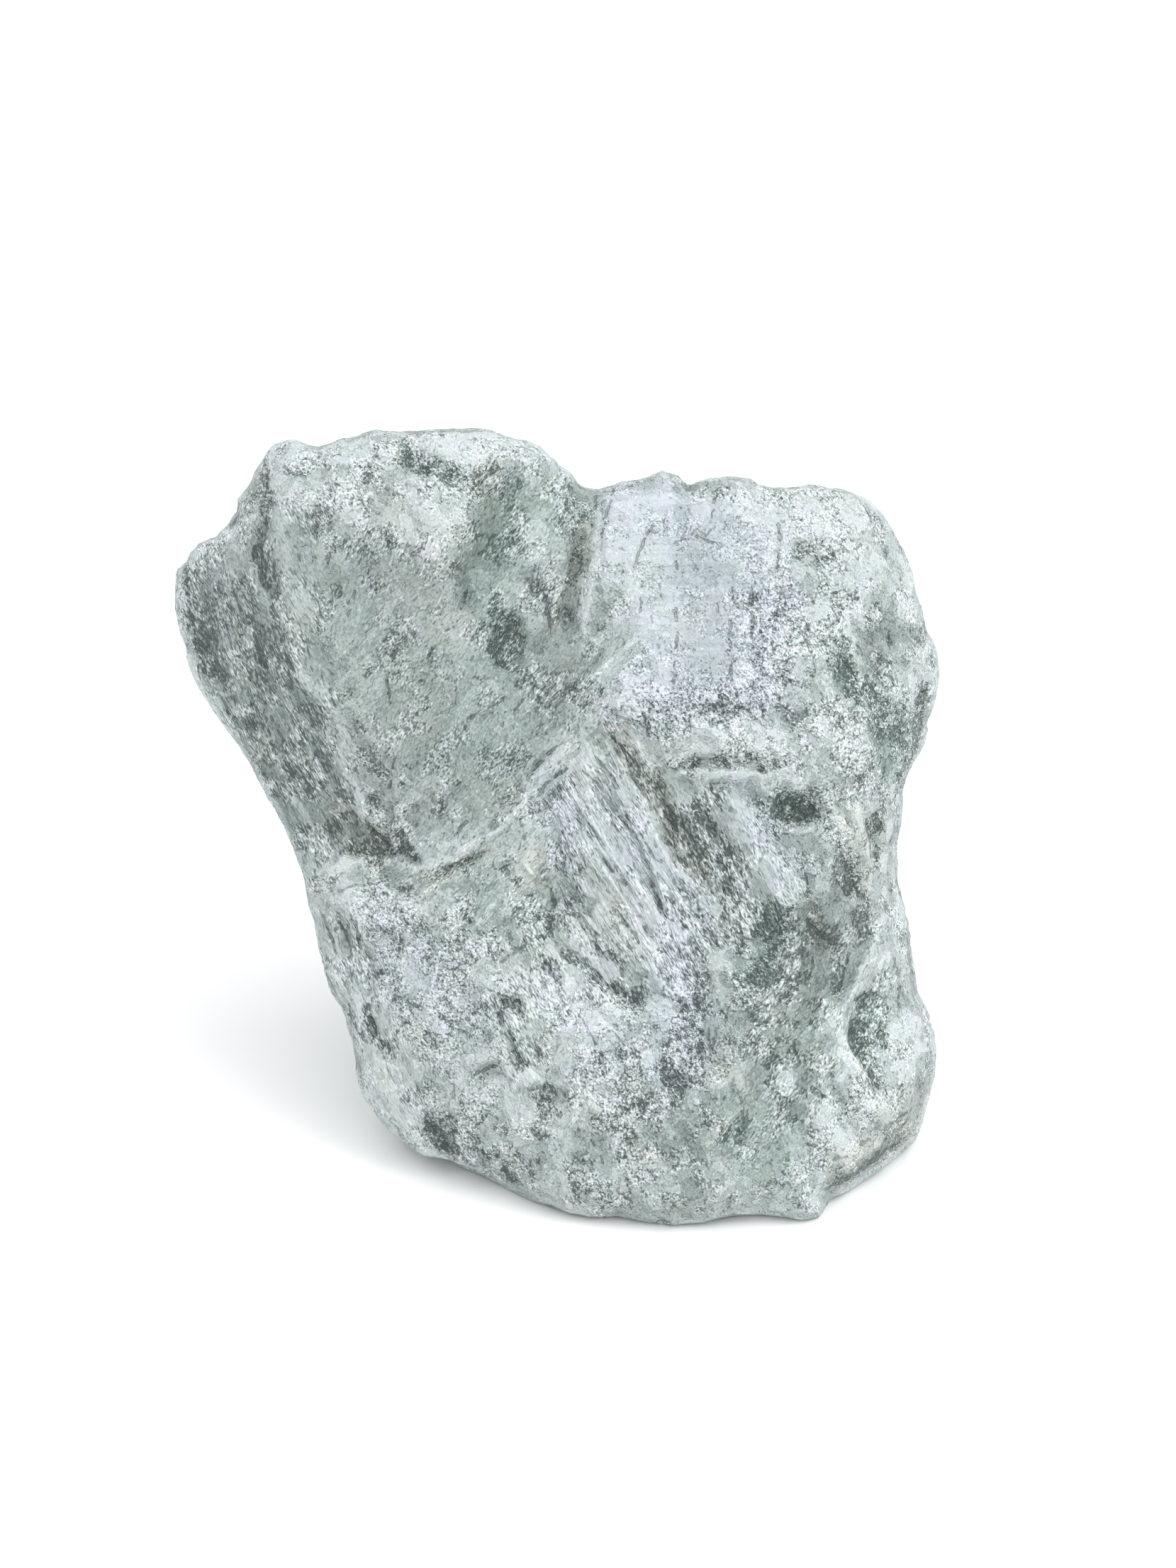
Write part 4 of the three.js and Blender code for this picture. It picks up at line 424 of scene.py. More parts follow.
# slow changes of tone over whole faces, partly the stone's own tone and partly painted light and shade, with the left
# face and the under-turned lower right rim darker as turned from the light and the up-facing block at the upper right
# lighter: amount, softness, ring
BROAD_TONE_AND_SHADE = [
    (-0.07, 40, [(430, 720), (600, 720), (600, 830), (450, 830)]),
    (0.10, 30, [(420, 940), (470, 960), (520, 1160), (470, 1160), (430, 1060)]), (-0.10, 20, [(250, 800), (300, 800), (304, 930), (262, 950)]), (-0.12, 16, [(335, 650), (366, 650), (378, 712), (330, 742), (298, 748), (330, 700)]),
    (0.08, 40, [(745, 1390), (800, 1380), (860, 1460), (820, 1500)]), (-0.10, 20, [(1000, 660), (1080, 660), (1080, 690), (1000, 695)]),
    (0.10, 20, [(1150, 1110), (1240, 1110), (1240, 1210), (1165, 1200)]), (0.13, 14, [(606, 606), (704, 612), (698, 656), (640, 662), (612, 640)]),
    (-0.07, 8, [(958, 776), (1000, 768), (1028, 778), (1036, 800), (1031, 960), (956, 970)]), (0.05, 8, [(862, 700), (950, 700), (955, 780), (955, 960), (880, 900)]),
    (-0.05, 8, [(1036, 820), (1060, 828), (1058, 930), (1034, 925)]), (0.04, 8, [(1036, 700), (1096, 740), (1096, 822), (1040, 815)]),
    (-0.24, 16, [(1185, 1650), (1240, 1620), (1285, 1560), (1310, 1480), (1340, 1480), (1330, 1600), (1200, 1710), (1165, 1700)]),
    (-0.13, 70, [(400, 720), (560, 760), (650, 790), (720, 900), (800, 900), (810, 1000), (700, 1140), (590, 1200), (540, 1190), (470, 1060), (410, 930), (390, 800)]),
    (-0.26, 50, [(250, 790), (330, 760), (380, 700), (400, 850), (415, 950), (480, 1080), (500, 1160), (430, 1230), (330, 1050), (250, 920)]),
    (0.14, 50, [(850, 690), (1120, 690), (1120, 850), (1110, 1060), (1000, 1060), (850, 1010), (830, 960), (915, 885), (850, 800)]),
    (0.08, 40, [(810, 1080), (870, 1060), (940, 1180), (1000, 1300), (940, 1360), (850, 1300)]),
    (-0.18, 60, [(1010, 1300), (1110, 1290), (1180, 1290), (1200, 1400), (1150, 1540), (1150, 1640), (1130, 1720), (960, 1730), (960, 1600), (1000, 1500)]),
    (-0.13, 30, [(690, 660), (830, 690), (800, 900), (700, 950), (640, 850), (650, 760)]),
    (-0.13, 40, [(1120, 1110), (1240, 1100), (1250, 1300), (1200, 1420), (1130, 1380), (1120, 1250)]),
    (-0.08, 60, [(760, 1600), (980, 1540), (980, 1730), (850, 1730), (700, 1690)]),
    (0.01, 60, [(450, 1240), (620, 1250), (640, 1400), (700, 1540), (560, 1560), (500, 1480), (450, 1340)]),
    (-0.13, 30, [(1165, 890), (1230, 880), (1270, 950), (1290, 1050), (1240, 1080), (1190, 1020), (1160, 960)]),
    (-0.12, 26, [(820, 960), (900, 880), (930, 890), (860, 980), (820, 1000)]),
    (0.07, 50, [(700, 1370), (820, 1340), (880, 1450), (860, 1560), (760, 1540)]),
]
# where the crust is drawn out along shear falling to the right, and where along shear rising to the right
FALLING = [
    [(240, 760), (330, 740), (390, 700), (450, 720), (450, 900), (500, 1060), (520, 1170), (440, 1240), (340, 1100), (240, 940)],
    [(800, 1060), (860, 1010), (960, 1090), (1060, 1130), (1160, 1280), (1030, 1330), (960, 1400), (830, 1420), (700, 1420), (720, 1320), (800, 1290), (760, 1140)],
    [(440, 1270), (500, 1280), (570, 1480), (600, 1580), (560, 1610), (480, 1500), (440, 1380)],
    [(680, 1400), (760, 1400), (780, 1540), (720, 1560)],
]
RISING = [
    [(480, 740), (640, 760), (700, 640), (800, 660), (820, 900), (910, 880), (830, 1040), (700, 1190), (640, 1290), (540, 1220), (560, 1130), (500, 1000), (460, 860)],
    [(1130, 1290), (1260, 1290), (1270, 1400), (1180, 1560), (1080, 1640), (1000, 1640), (1040, 1500), (1080, 1400)],
    [(700, 1170), (780, 1130), (800, 1260), (740, 1300), (640, 1300)],
]

TILT = math.radians(CHART_TILT_DEG)
COS, SIN = math.cos(TILT), math.sin(TILT)
FOCAL = POLE_DISTANCE * CHART_PER_MM


# ---- relief field: a membrane stretched over the relief lines, coarse to fine ----
def draw_lines(lines, step, only_crisp):
    nx, ny = (GX1 - GX0) // step + 1, (GY1 - GY0) // step + 1
    total, count = np.zeros(nx * ny), np.zeros(nx * ny)
    for line in lines:
        if only_crisp and not line[0]:
            continue
        for a in range(1, len(line) - 5, 3):
            dx, dy, dd = line[a + 3] - line[a], line[a + 4] - line[a + 1], line[a + 5] - line[a + 2]
            n = int(math.floor(max(abs(dx), abs(dy)) / (step * 0.5))) + 1
            t = np.arange(n + 1) / n
            i = np.floor((line[a] + dx * t - GX0) / step + 0.5).astype(int)
            j = np.floor((line[a + 1] + dy * t - GY0) / step + 0.5).astype(int)
            ok = (i >= 0) & (j >= 0) & (i < nx) & (j < ny)
            k = j[ok] * nx + i[ok]
            np.add.at(total, k, (line[a + 2] + dd * t)[ok])
            np.add.at(count, k, 1)
    return total.reshape(ny, nx), count.reshape(ny, nx)


def settle(field, grid, rounds):
    total, count = field
    fixed = count > 0
    value = np.where(fixed, total / np.maximum(count, 1), 0.0)
    now = grid
    for _ in range(rounds):
        p = np.pad(now, 1, mode="edge")
        now = np.where(fixed, value, 0.25 * (p[:-2, 1:-1] + p[2:, 1:-1] + p[1:-1, :-2] + p[1:-1, 2:]))
    return now


def stretch(lines, release):
    grid, last = None, 0
    for step in (32, 16, 8, CELL):
        field = draw_lines(lines, step, False)
        ny, nx = field[1].shape
        if grid is None:
            fixed = field[1] > 0
            start = np.full((ny, nx), (field[0][fixed] / field[1][fixed]).mean())
        else:
            gny, gnx = grid.shape
            y = np.minimum(np.arange(ny) * step / last, gny - 1.001)[:, None]
            x = np.minimum(np.arange(nx) * step / last, gnx - 1.001)[None, :]
            y0, x0 = np.floor(y).astype(int), np.floor(x).astype(int)
            fy, fx = y - y0, x - x0
            start = (grid[y0, x0] * (1 - fx) + grid[y0, x0 + 1] * fx) * (1 - fy) + (
                grid[y0 + 1, x0] * (1 - fx) + grid[y0 + 1, x0 + 1] * fx) * fy
        grid = settle(field, start, 300)
        last = step
    if release:
        grid = settle(draw_lines(lines, CELL, True), grid, release)
    return grid


def soften(grid, rounds):
    for _ in range(rounds):
        p = np.pad(grid, 1, mode="edge")
        q = (p[:-2] + 2 * p[1:-1] + p[2:]) / 4
        grid = (q[:, :-2] + 2 * q[:, 1:-1] + q[:, 2:]) / 4
    return grid


def ring_distance(ring, x, y):
    """Signed distance to a closed ring in chart units, positive inside."""
    best, inside = np.full(x.shape, 1e18), np.zeros(x.shape, bool)
    for a in range(len(ring)):
        (px, py), (qx, qy) = ring[a], ring[(a + 1) % len(ring)]
        dx, dy = qx - px, qy - py
        t = np.clip(((x - px) * dx + (y - py) * dy) / (dx * dx + dy * dy), 0, 1)
        best = np.minimum(best, (px + dx * t - x) ** 2 + (py + dy * t - y) ** 2)
        if py != qy:
            inside ^= ((py > y) != (qy > y)) & (x < (qx - px) * (y - py) / (qy - py) + px)
    return np.sqrt(best) * np.where(inside, 1, -1)


def turn_lines():
    n = len(OUTLINE)
    along = [0.0]
    for a in range(n):
        (px, py), (qx, qy) = OUTLINE[a], OUTLINE[(a + 1) % n]
        along.append(along[-1] + math.hypot(qx - px, qy - py))
    whole = along[n]
    marks = []
    for x, y, w, r in TURN:
        k = min(range(n), key=lambda a: (OUTLINE[a][0] - x) ** 2 + (OUTLINE[a][1] - y) ** 2)
        marks.append((along[k], w, r))
    marks.sort(key=lambda m: m[0])
    depth, rounding = [1], [1]
    for a in range(n + 1):
        s = along[a] if a < n else 0.0
        k = len(marks) - 1
        for m in range(len(marks)):
            if marks[m][0] <= s:
                k = m
        if s < marks[0][0]:
            k = len(marks) - 1
        p, q = marks[k], marks[(k + 1) % len(marks)]
        span = q[0] - p[0]
        if span <= 0:
            span += whole
        t = s - p[0]
        if t < 0:
            t += whole
        t /= span
        x, y = OUTLINE[a % n]
        depth += [x, y, p[1] + (q[1] - p[1]) * t]
        rounding += [x, y, p[2] + (q[2] - p[2]) * t]
    return depth, rounding


def polyline(points, x, y):
    """Distance to a polyline, which side of it (+1 or -1), and how far along it from 0 to 1."""
    best = np.full(x.shape, 1e18)
    side, where = np.ones(x.shape), np.zeros(x.shape)
    for a in range(len(points) - 1):
        (px, py), (qx, qy) = points[a], points[a + 1]
        dx, dy = qx - px, qy - py
        t = np.clip(((x - px) * dx + (y - py) * dy) / max(dx * dx + dy * dy, 1e-9), 0, 1)
        d = (px + dx * t - x) ** 2 + (py + dy * t - y) ** 2
        nearer = d < best
        best = np.where(nearer, d, best)
        side = np.where(nearer, np.where(dx * (y - py) - dy * (x - px) > 0, 1, -1), side)
        where = np.where(nearer, (a + t) / (len(points) - 1), where)
    return np.sqrt(best), side, where


def stroke_field(strokes, x, y):
    out = np.zeros(x.shape)
    for stroke in strokes:
        height, left, right = stroke[:3]
        reach = max(left, right)
        pts = [(stroke[a], stroke[a + 1]) for a in range(3, len(stroke), 2)]
        xs, ys = [p[0] for p in pts], [p[1] for p in pts]
        near = np.nonzero((x > min(xs) - reach) & (x < max(xs) + reach) & (y > min(ys) - reach) & (y < max(ys) + reach))
        if not len(near[0]):
            continue
        d, side, where = polyline(pts, x[near], y[near])
        q = d / np.where(side > 0, right, left)
        h = height * (1 - q) ** 2 * (1 + 2 * q) * np.sqrt(np.minimum(1, 4 * np.minimum(where, 1 - where) + 0.12))
        out[near] += np.where(q < 1, h, 0)
    return out


# ---- repeatable lattice noise ----
def lattice(i, j, k):
    u = np.uint32
    h = (i.astype(np.int64) & 0xFFFFFFFF).astype(u) * u(0x27D4EB2D) ^ (j.astype(np.int64) & 0xFFFFFFFF).astype(u) * u(0x165667B1) ^ (
        k.astype(np.int64) & 0xFFFFFFFF).astype(u) * u(0x9E3779B1)
    h = (h ^ (h >> u(15))) * u(0x85EBCA6B)
    h = (h ^ (h >> u(13))) * u(0xC2B2AE35)
    return (h ^ (h >> u(16))).astype(np.float64) / 4294967296.0


def swell(x, y, z):
    i, j, k = np.floor(x), np.floor(y), np.floor(z)
    fx, fy, fz = x - i, y - j, z - k
    u, v, w = (t * t * t * (t * (t * 6 - 15) + 10) for t in (fx, fy, fz))
    total = 0
    for c in range(8):
        a, b, d = c & 1, (c >> 1) & 1, c >> 2
        total = total + lattice(i + a, j + b, k + d) * (u if a else 1 - u) * (v if b else 1 - v) * (w if d else 1 - w)
    return total * 2 - 1


def scoops(x, y, z, seed):
    i, j, k = np.floor(x), np.floor(y), np.floor(z)
    best = np.full(x.shape, 9.0)
    for c in (-1, 0, 1):
        for b in (-1, 0, 1):
            for a in (-1, 0, 1):
                p, q, r = i + a, j + b, k + c
                best = np.minimum(best, (p + lattice(p, q, r + seed) - x) ** 2 + (q + lattice(p, q, r + seed + 57) - y) ** 2
                                  + (r + lattice(p, q, r + seed + 113) - z) ** 2)
    return np.minimum(1, best)


# ---- the block, as the solid has it ----
turn_depth_line, turn_round_line = turn_lines()
turn_depth, turn_round = stretch([turn_depth_line], 0), stretch([turn_round_line], 0)
gy, gx = np.mgrid[GY0:GY1 + 1:CELL, GX0:GX1 + 1:CELL].astype(float)
edge = ring_distance(OUTLINE, gx, gy) / 3.6
plain_edge = ring_distance(BACK_OUTLINE, gx, gy) / 3.6
bare_turn = [v - turn_round_line[a] if a > 0 and a % 3 == 0 else v for a, v in enumerate(turn_depth_line)]
membrane = soften(stretch(RELIEF + [bare_turn], 60), 2)
strokes = soften(stroke_field(STROKES, gx, gy), 1)
q = np.maximum(0, 1 - edge / turn_round)
front = np.where(edge > 0, membrane + strokes * np.minimum(1, edge / 6) + turn_round * (1 - np.sqrt(np.maximum(0, 1 - q * q))),
                 turn_depth - 12 * edge)
m = np.clip(edge / 18, 0, 1)
plain = edge + (np.maximum(plain_edge, 0.6 * edge) - edge) * m * m * (3 - 2 * m)
s = np.maximum(0, 1 - plain / 125)
low = np.clip((gy - 1050) / 600, 0, 1)
back = np.where(edge > 0, turn_depth + (BACK_THICKNESS + FOOT_THICKNESS * low * low * (3 - 2 * low)) * np.sqrt(np.maximum(0, 1 - s * s)),
                turn_depth + 12 * edge)


def sample(grid, cx, cy):
    x, y = np.clip((cx - GX0) / CELL, 0, NX - 1.001), np.clip((cy - GY0) / CELL, 0, NY - 1.001)
    i, j = np.floor(x).astype(int), np.floor(y).astype(int)
    fx, fy = x - i, y - j
    return (grid[j, i] * (1 - fx) + grid[j, i + 1] * fx) * (1 - fy) + (grid[j + 1, i] * (1 - fx) + grid[j + 1, i + 1] * fx) * fy


def chart(p):
    """Chart place and depth of points given in the block's frame."""
    up, away = p[:, 1] * SIN + p[:, 2] * COS, p[:, 1] * COS - p[:, 2] * SIN
    reach = POLE_DISTANCE + away
    return CHART_AXIS[0] + FOCAL * p[:, 0] / reach, CHART_AXIS[1] - FOCAL * up / reach, away


hX = (HEART[0] - CHART_AXIS[0]) * (POLE_DISTANCE + HEART[2]) / FOCAL
hU = -(HEART[1] - CHART_AXIS[1]) * (POLE_DISTANCE + HEART[2]) / FOCAL
heart = np.array([hX, hU * SIN + HEART[2] * COS, hU * COS - HEART[2] * SIN])
flats = []
for bearing, lift, distance in BACK_FLATS:
    b, l = math.radians(bearing), math.radians(lift)
    flats.append((np.array([math.sin(b) * math.cos(l), math.cos(b) * math.cos(l), math.sin(l)]), distance))


def outside(d):
    p = heart + d
    cx, cy, away = chart(p)
    rear = away - sample(back, cx, cy)
    for n, distance in flats:
        f = d @ n - distance
        t = np.abs(rear - f)
        rear = np.maximum(rear, f) + np.where(t < 5, (5 - t) ** 2 / 20, 0)
    return np.maximum(np.maximum(sample(front, cx, cy) - away, rear), REST_LEVEL - p[:, 2])


def skin_radius(d):
    near, far = np.zeros(len(d)), np.zeros(len(d))
    live = np.arange(len(d))
    r = 4
    while r < 300 and len(live):
        out = outside(d[live] * r) > 0
        far[live[out]] = r
        live = live[~out]
        near[live] = r
        r += 2
    for _ in range(16):
        mid = 0.5 * (near + far)
        out = outside(d * mid[:, None]) > 0
        far, near = np.where(out, mid, far), np.where(out, near, mid)
    return 0.5 * (near + far)


def skin_fields(n):
    """Directions and triangles of a sphere in twenty fields, with shared points."""
    g = (1 + math.sqrt(5)) / 2
    c = np.array([(-1, g, 0), (1, g, 0), (-1, -g, 0), (1, -g, 0), (0, -1, g), (0, 1, g), (0, -1, -g), (0, 1, -g),
                  (g, 0, -1), (g, 0, 1), (-g, 0, -1), (-g, 0, 1)], float)
    f = [(0, 11, 5), (0, 5, 1), (0, 1, 7), (0, 7, 10), (0, 10, 11), (1, 5, 9), (5, 11, 4), (11, 10, 2), (10, 7, 6), (7, 1, 8),
         (3, 9, 4), (3, 4, 2), (3, 2, 6), (3, 6, 8), (3, 8, 9), (4, 9, 5), (2, 4, 11), (6, 2, 10), (8, 6, 7), (9, 8, 1)]
    ij = [(i, j) for i in range(n + 1) for j in range(n + 1 - i)]
    number = {v: k for k, v in enumerate(ij)}
    tri = []
    for i in range(n):
        for j in range(n - i):
            tri.append((number[i, j], number[i + 1, j], number[i, j + 1]))
            if i + j < n - 1:
                tri.append((number[i + 1, j], number[i + 1, j + 1], number[i, j + 1]))
    w = np.array(ij, float) / n
    tri = np.array(tri)
    pts, tris = [], []
    for k, (a, b, d) in enumerate(f):
        pts.append(c[a] * (1 - w[:, :1] - w[:, 1:]) + c[b] * w[:, :1] + c[d] * w[:, 1:])
        tris.append(tri + k * len(ij))
    pts, tris = np.concatenate(pts), np.concatenate(tris)
    pts /= np.linalg.norm(pts, axis=1)[:, None]
    key = np.round(pts * 1e6).astype(np.int64)
    key = (key[:, 0] * 4000003 + key[:, 1]) * 4000003 + key[:, 2]
    _, first, place = np.unique(key, return_index=True, return_inverse=True)
    return pts[first], place.ravel()[tris]


dirs, tris = skin_fields(SKIN_STEPS)
dirs = dirs + np.array([0, -COS * FRONT_DENSITY, SIN * FRONT_DENSITY])
dirs /= np.linalg.norm(dirs, axis=1)[:, None]
radius = skin_radius(dirs)
P = heart + dirs * radius[:, None]
facing = -(dirs[:, 1] * COS - dirs[:, 2] * SIN)
rear = np.clip(0.55 - facing, 0, 1)
x, y, z = P.T
rough = ((0.7 + 1.5 * rear) * swell(x / 34, y / 34, z / 34) + (0.45 + 0.8 * rear) * swell(x / 15 + 7, y / 15, z / 15)
         - (0.8 + 4.2 * rear) * (0.42 - scoops(x / 46, y / 46, z / 46, 5)) - (0.5 + 1.9 * rear) * (0.42 - scoops(x / 21, y / 21, z / 21, 31)))
lift = np.clip((z - REST_LEVEL) / 9, 0, 1)
on_base = z - REST_LEVEL < 0.02
P = heart + dirs * (radius + rough * lift)[:, None]


def smooth(t):
    t = np.clip(t, 0, 1)
    return t * t * (3 - 2 * t)


def corner_normals(p):
    n = np.cross(p[tris[:, 1]] - p[tris[:, 0]], p[tris[:, 2]] - p[tris[:, 0]])
    out = np.zeros_like(p)
    for a in range(3):
        for b in range(3):
            out[:, b] += np.bincount(tris[:, a], n[:, b], len(p))
    return out / np.maximum(np.linalg.norm(out, axis=1), 1e-12)[:, None]


pairs = np.concatenate([tris[:, [0, 1]], tris[:, [1, 2]], tris[:, [2, 0]]])   # each edge once in each direction
valence = np.bincount(pairs[:, 0], minlength=len(P)).astype(float)


def averaged(v, rounds, keep=0.0):
    for _ in range(rounds):
        if v.ndim == 1:
            w = np.bincount(pairs[:, 0], v[pairs[:, 1]], len(v)) / valence
        else:
            w = np.stack([np.bincount(pairs[:, 0], v[pairs[:, 1], b], len(v)) / valence for b in range(v.shape[1])], 1)
        v = keep * v + (1 - keep) * w
    return v


# ---- what lies on the worked front, and where its tables count ----
N = corner_normals(P)
cx, cy, away = chart(P)
rim = ring_distance(OUTLINE, cx, cy) / 3.6
to_pole = np.array([0, 0, 0]) - P
to_pole = to_pole - np.array([0, COS, -SIN]) * POLE_DISTANCE
to_pole /= np.linalg.norm(to_pole, axis=1)[:, None]
square_on = (N * to_pole).sum(1)
in_front = smooth((sample(turn_depth, cx, cy) - away + 2) / 6) * smooth(rim / 4)
worked = in_front * smooth((averaged(square_on, 6) - 0.05) / 0.25)

x, y, z = P.T
wob1, wob2 = swell(x / 9, y / 9, z / 9), swell(x / 9 + 31, y / 9, z / 9)
wob3, wob4 = swell(x / 3.6, y / 3.6, z / 3.6), swell(x / 3.6 + 17, y / 3.6, z / 3.6)
px, py = cx + 9 * wob1 + 7 * wob3, cy + 9 * wob2 + 7 * wob4


def patch(kind):
    out = np.zeros(len(P))
    for name, amount, reach, *line in PATCHES:
        if name != kind:
            continue
        pts = [(line[a], line[a + 1]) for a in range(0, len(line), 2)]
        xs, ys = [p[0] for p in pts], [p[1] for p in pts]
        near = np.nonzero((px > min(xs) - reach * 1.3) & (px < max(xs) + reach * 1.3) & (py > min(ys) - reach * 1.3) & (py < max(ys) + reach * 1.3))[0]
        if len(near):
            d = polyline(pts if len(pts) > 1 else pts * 2, px[near], py[near])[0] / (reach * 1.3)
            f = amount * smooth(1.5 * (1 - d))
            out[near] = out[near] + f - out[near] * f
    return out * worked


# the w patches carry painted highlights as well as chalky white, the d patches painted shade as well as dark stone, the
# b patches painted warm shade and warm bounce light as well as brown tint
chalk_and_highlight, dark_tone_and_shade, green, violet, brown_tint_and_warm_shade = (patch(k) for k in "wdgvb")
speck, sleek = patch("s"), patch("m")
tool = smooth(ring_distance(TOOL_FACE, px, py) / 14) * worked
cleaved = smooth(ring_distance(CLEAVED_FACE, px, py) / 16) * worked
sleek = np.maximum(sleek, np.maximum(0.85 * tool, 0.75 * cleaved))
speck = np.maximum(speck, 1.2 * np.clip(dark_tone_and_shade, 0, 0.8) * (1 - sleek))

# ---- foliation: flat grains and flakes lie across this direction through the whole stone ----
LEAF = np.array([0.86 * math.cos(0.52), 0.25, 0.86 * math.sin(0.52)])
LEAF /= np.linalg.norm(LEAF)
LEAF_U = np.cross(LEAF, [0, 0, 1.0]); LEAF_U /= np.linalg.norm(LEAF_U)
LEAF_V = np.cross(LEAF, LEAF_U)
f0, f1, f2 = P @ LEAF, P @ LEAF_U, P @ LEAF_V


def terraces(v, steps):
    s = v * steps
    whole = np.floor(s)
    return (whole + smooth((s - whole - 0.2) / 0.6)) / steps


def broken(a, b, c, seed, slope, bowl, jump):
    """Small broken faces, each tilted its own way and meeting the next in a ridge or a step. Height, about -1 to 1."""
    i, j, k = np.floor(a), np.floor(b), np.floor(c)
    best, low_plane = np.full(a.shape, 9.0), np.full(a.shape, 9.0)
    nearest = np.zeros(a.shape)
    for r in (-1, 0, 1):
        for q in (-1, 0, 1):
            for p in (-1, 0, 1):
                u, v, w = i + p, j + q, k + r
                h = [lattice(u, v, w + seed + 19 * t) for t in range(7)]
                dx, dy, dz = a - u - h[0], b - v - h[1], c - w - h[2]
                d = dx * dx + dy * dy + dz * dz
                plane = slope * ((h[3] - 0.5) * dx + (h[4] - 0.5) * dy + (h[5] - 0.5) * dz) + 0.4 * h[6]
                low_plane = np.minimum(low_plane, plane + bowl * d)
                nearest = np.where(d < best, plane, nearest)
                best = np.minimum(best, d)
    return 2 * ((1 - jump) * low_plane + jump * nearest) - 0.4


# ---- pale crust over darker stone: where it lies, in clumps drawn out along the shear of each zone ----
# face tones from the table: partly the stone's own tone, partly painted light and shade
broad_tone_and_shade = np.zeros(len(P))
for amount, soft, ring in BROAD_TONE_AND_SHADE:
    broad_tone_and_shade += amount * smooth(0.5 + ring_distance(ring, px, py) / soft) * worked
falling = np.zeros(len(P))
rising = np.zeros(len(P))
for zone_rings, zone in ((FALLING, falling), (RISING, rising)):
    for ring in zone_rings:
        zone[:] = np.maximum(zone, smooth(0.5 + ring_distance(ring, px, py) / 40) * worked)
far_zone = smooth(0.5 + 1.2 * swell(x / 45 + 7, y / 45, z / 45)) * (1 - worked)
falling = np.maximum(falling, far_zone)
rising = np.maximum(rising, 0.7 * (1 - worked) * (1 - far_zone))
DOWN = np.array([0, -SIN, -COS])


def shear_axes(degrees):
    t = math.radians(degrees)
    u = math.cos(t) * np.array([1.0, 0, 0]) + math.sin(t) * DOWN
    v = -math.sin(t) * np.array([1.0, 0, 0]) + math.cos(t) * DOWN
    return u, v, np.cross(u, v)


FALL_AXES, RISE_AXES = shear_axes(61), shear_axes(-56)


def clumps(size, seed):
    def one(axes, stretch):
        a, b, c = (P @ axis for axis in axes)
        bend = swell(a / (size * 4) + seed, b / (size * 3), c / (size * 3))
        return swell(a / (size * stretch[0]) + seed, b / (size * stretch[1]) + 0.6 * bend, c / (size * stretch[2]))
    even, fall, rise = one((LEAF_U, LEAF_V, LEAF), (1.25, 1.0, 0.8)), one(FALL_AXES, (2.5, 0.75, 1.1)), one(RISE_AXES, (2.2, 0.75, 1.2))
    wf, wr = smooth((falling - 0.5) * 2 + 0.5), smooth((rising - 0.5) * 2 + 0.5)
    wf = wf * (1 - wr)
    w0 = 1 - np.maximum(wf, wr)
    mixed = (w0 * even + wf * fall + wr * rise) / np.sqrt(w0 ** 2 + wf ** 2 + wr ** 2)
    return mixed / mixed.std()


clump = 0.18 * clumps(27, 5) + 0.27 * clumps(12, 11) + 0.25 * clumps(6.0, 23)
clump *= 1 - 0.55 * sleek
# the face tones and the w and d patches, painted light and shade among them, also shift how much crust lies
bias = 0.30 + 2.2 * broad_tone_and_shade + 1.0 * chalk_and_highlight - 1.05 * dark_tone_and_shade
clump = clump + bias + (0.16 + 0.42 * swell(x / 38 + 3, y / 38, z / 38)) * (1 - worked)

calm = 1 - 0.72 * sleek
big = broken(f0 / 15, f1 / 26, f2 / 21, 401, 1.6, 0.55, 0.15)
medium = broken(f0 / 7, f1 / 13, f2 / 10, 501, 1.7, 0.5, 0.35)
small = broken(f0 / 3.6, f1 / 7.5, f2 / 5.5, 601, 1.6, 0.4, 0.6)
zone = smooth((swell(x / 27 + 3, y / 27, z / 27) + 0.55 * swell(x / 11 + 5, y / 11, z / 11) + 0.25) / 0.9)
rugged = np.clip(0.40 + 0.60 * zone + 0.5 * speck, 0, 1.4) * calm
detail = rugged * (0.85 * big + 0.50 * medium + 0.25 * small) + 0.25 * (1 - rugged) * calm * big
detail *= 1 + 0.30 * (1 - worked)
behind = smooth((away - sample(turn_depth, cx, cy) - 6) / 34) * (1 - worked)
detail += behind * (2.3 * broken(f0 / 30, f1 / 47, f2 / 38, 701, 1.6, 0.5, 0.2) + 0.9 * (big - 0.3))
pits = smooth((swell(x / 3.1 + 9, y / 3.1, z / 3.1) - 0.25) / 0.4)
detail -= (0.05 + 0.65 * speck) * calm * pits
crusted = smooth(0.5 + clump / 0.30) * 0.34 + smooth(0.5 + (clump - 0.5) / 0.30) * 0.26 + smooth(0.5 + (clump + 0.75) / 0.35) * 0.34
detail += (crusted - 0.6) * (1 - 0.5 * sleek)

# parallel cleavage steps on the middle face, and shallow tool marks on the upper right block
c57, s57 = math.cos(math.radians(57)), math.sin(math.radians(57))
su, sv = cx * c57 + cy * s57, -cx * s57 + cy * c57
sv = sv + 5 * swell(su / 70, sv / 40, 5 * np.ones(len(P)))
step1 = swell(su / 120, sv / 17, 11 * np.ones(len(P)))
step2 = swell(su / 90, sv / 9.5, 23 * np.ones(len(P)))
steps = terraces(0.75 * step1 + 0.35 * step2, 2.5)
marks = 0.35 * swell(cx / 70, cy / 13, 3 * np.ones(len(P))) + 0.30 * swell(cx / 16, cy / 120, 7 * np.ones(len(P)))
detail += cleaved * 1.0 * steps + tool * 0.5 * marks

fine = stroke_field(FINE, cx, cy)


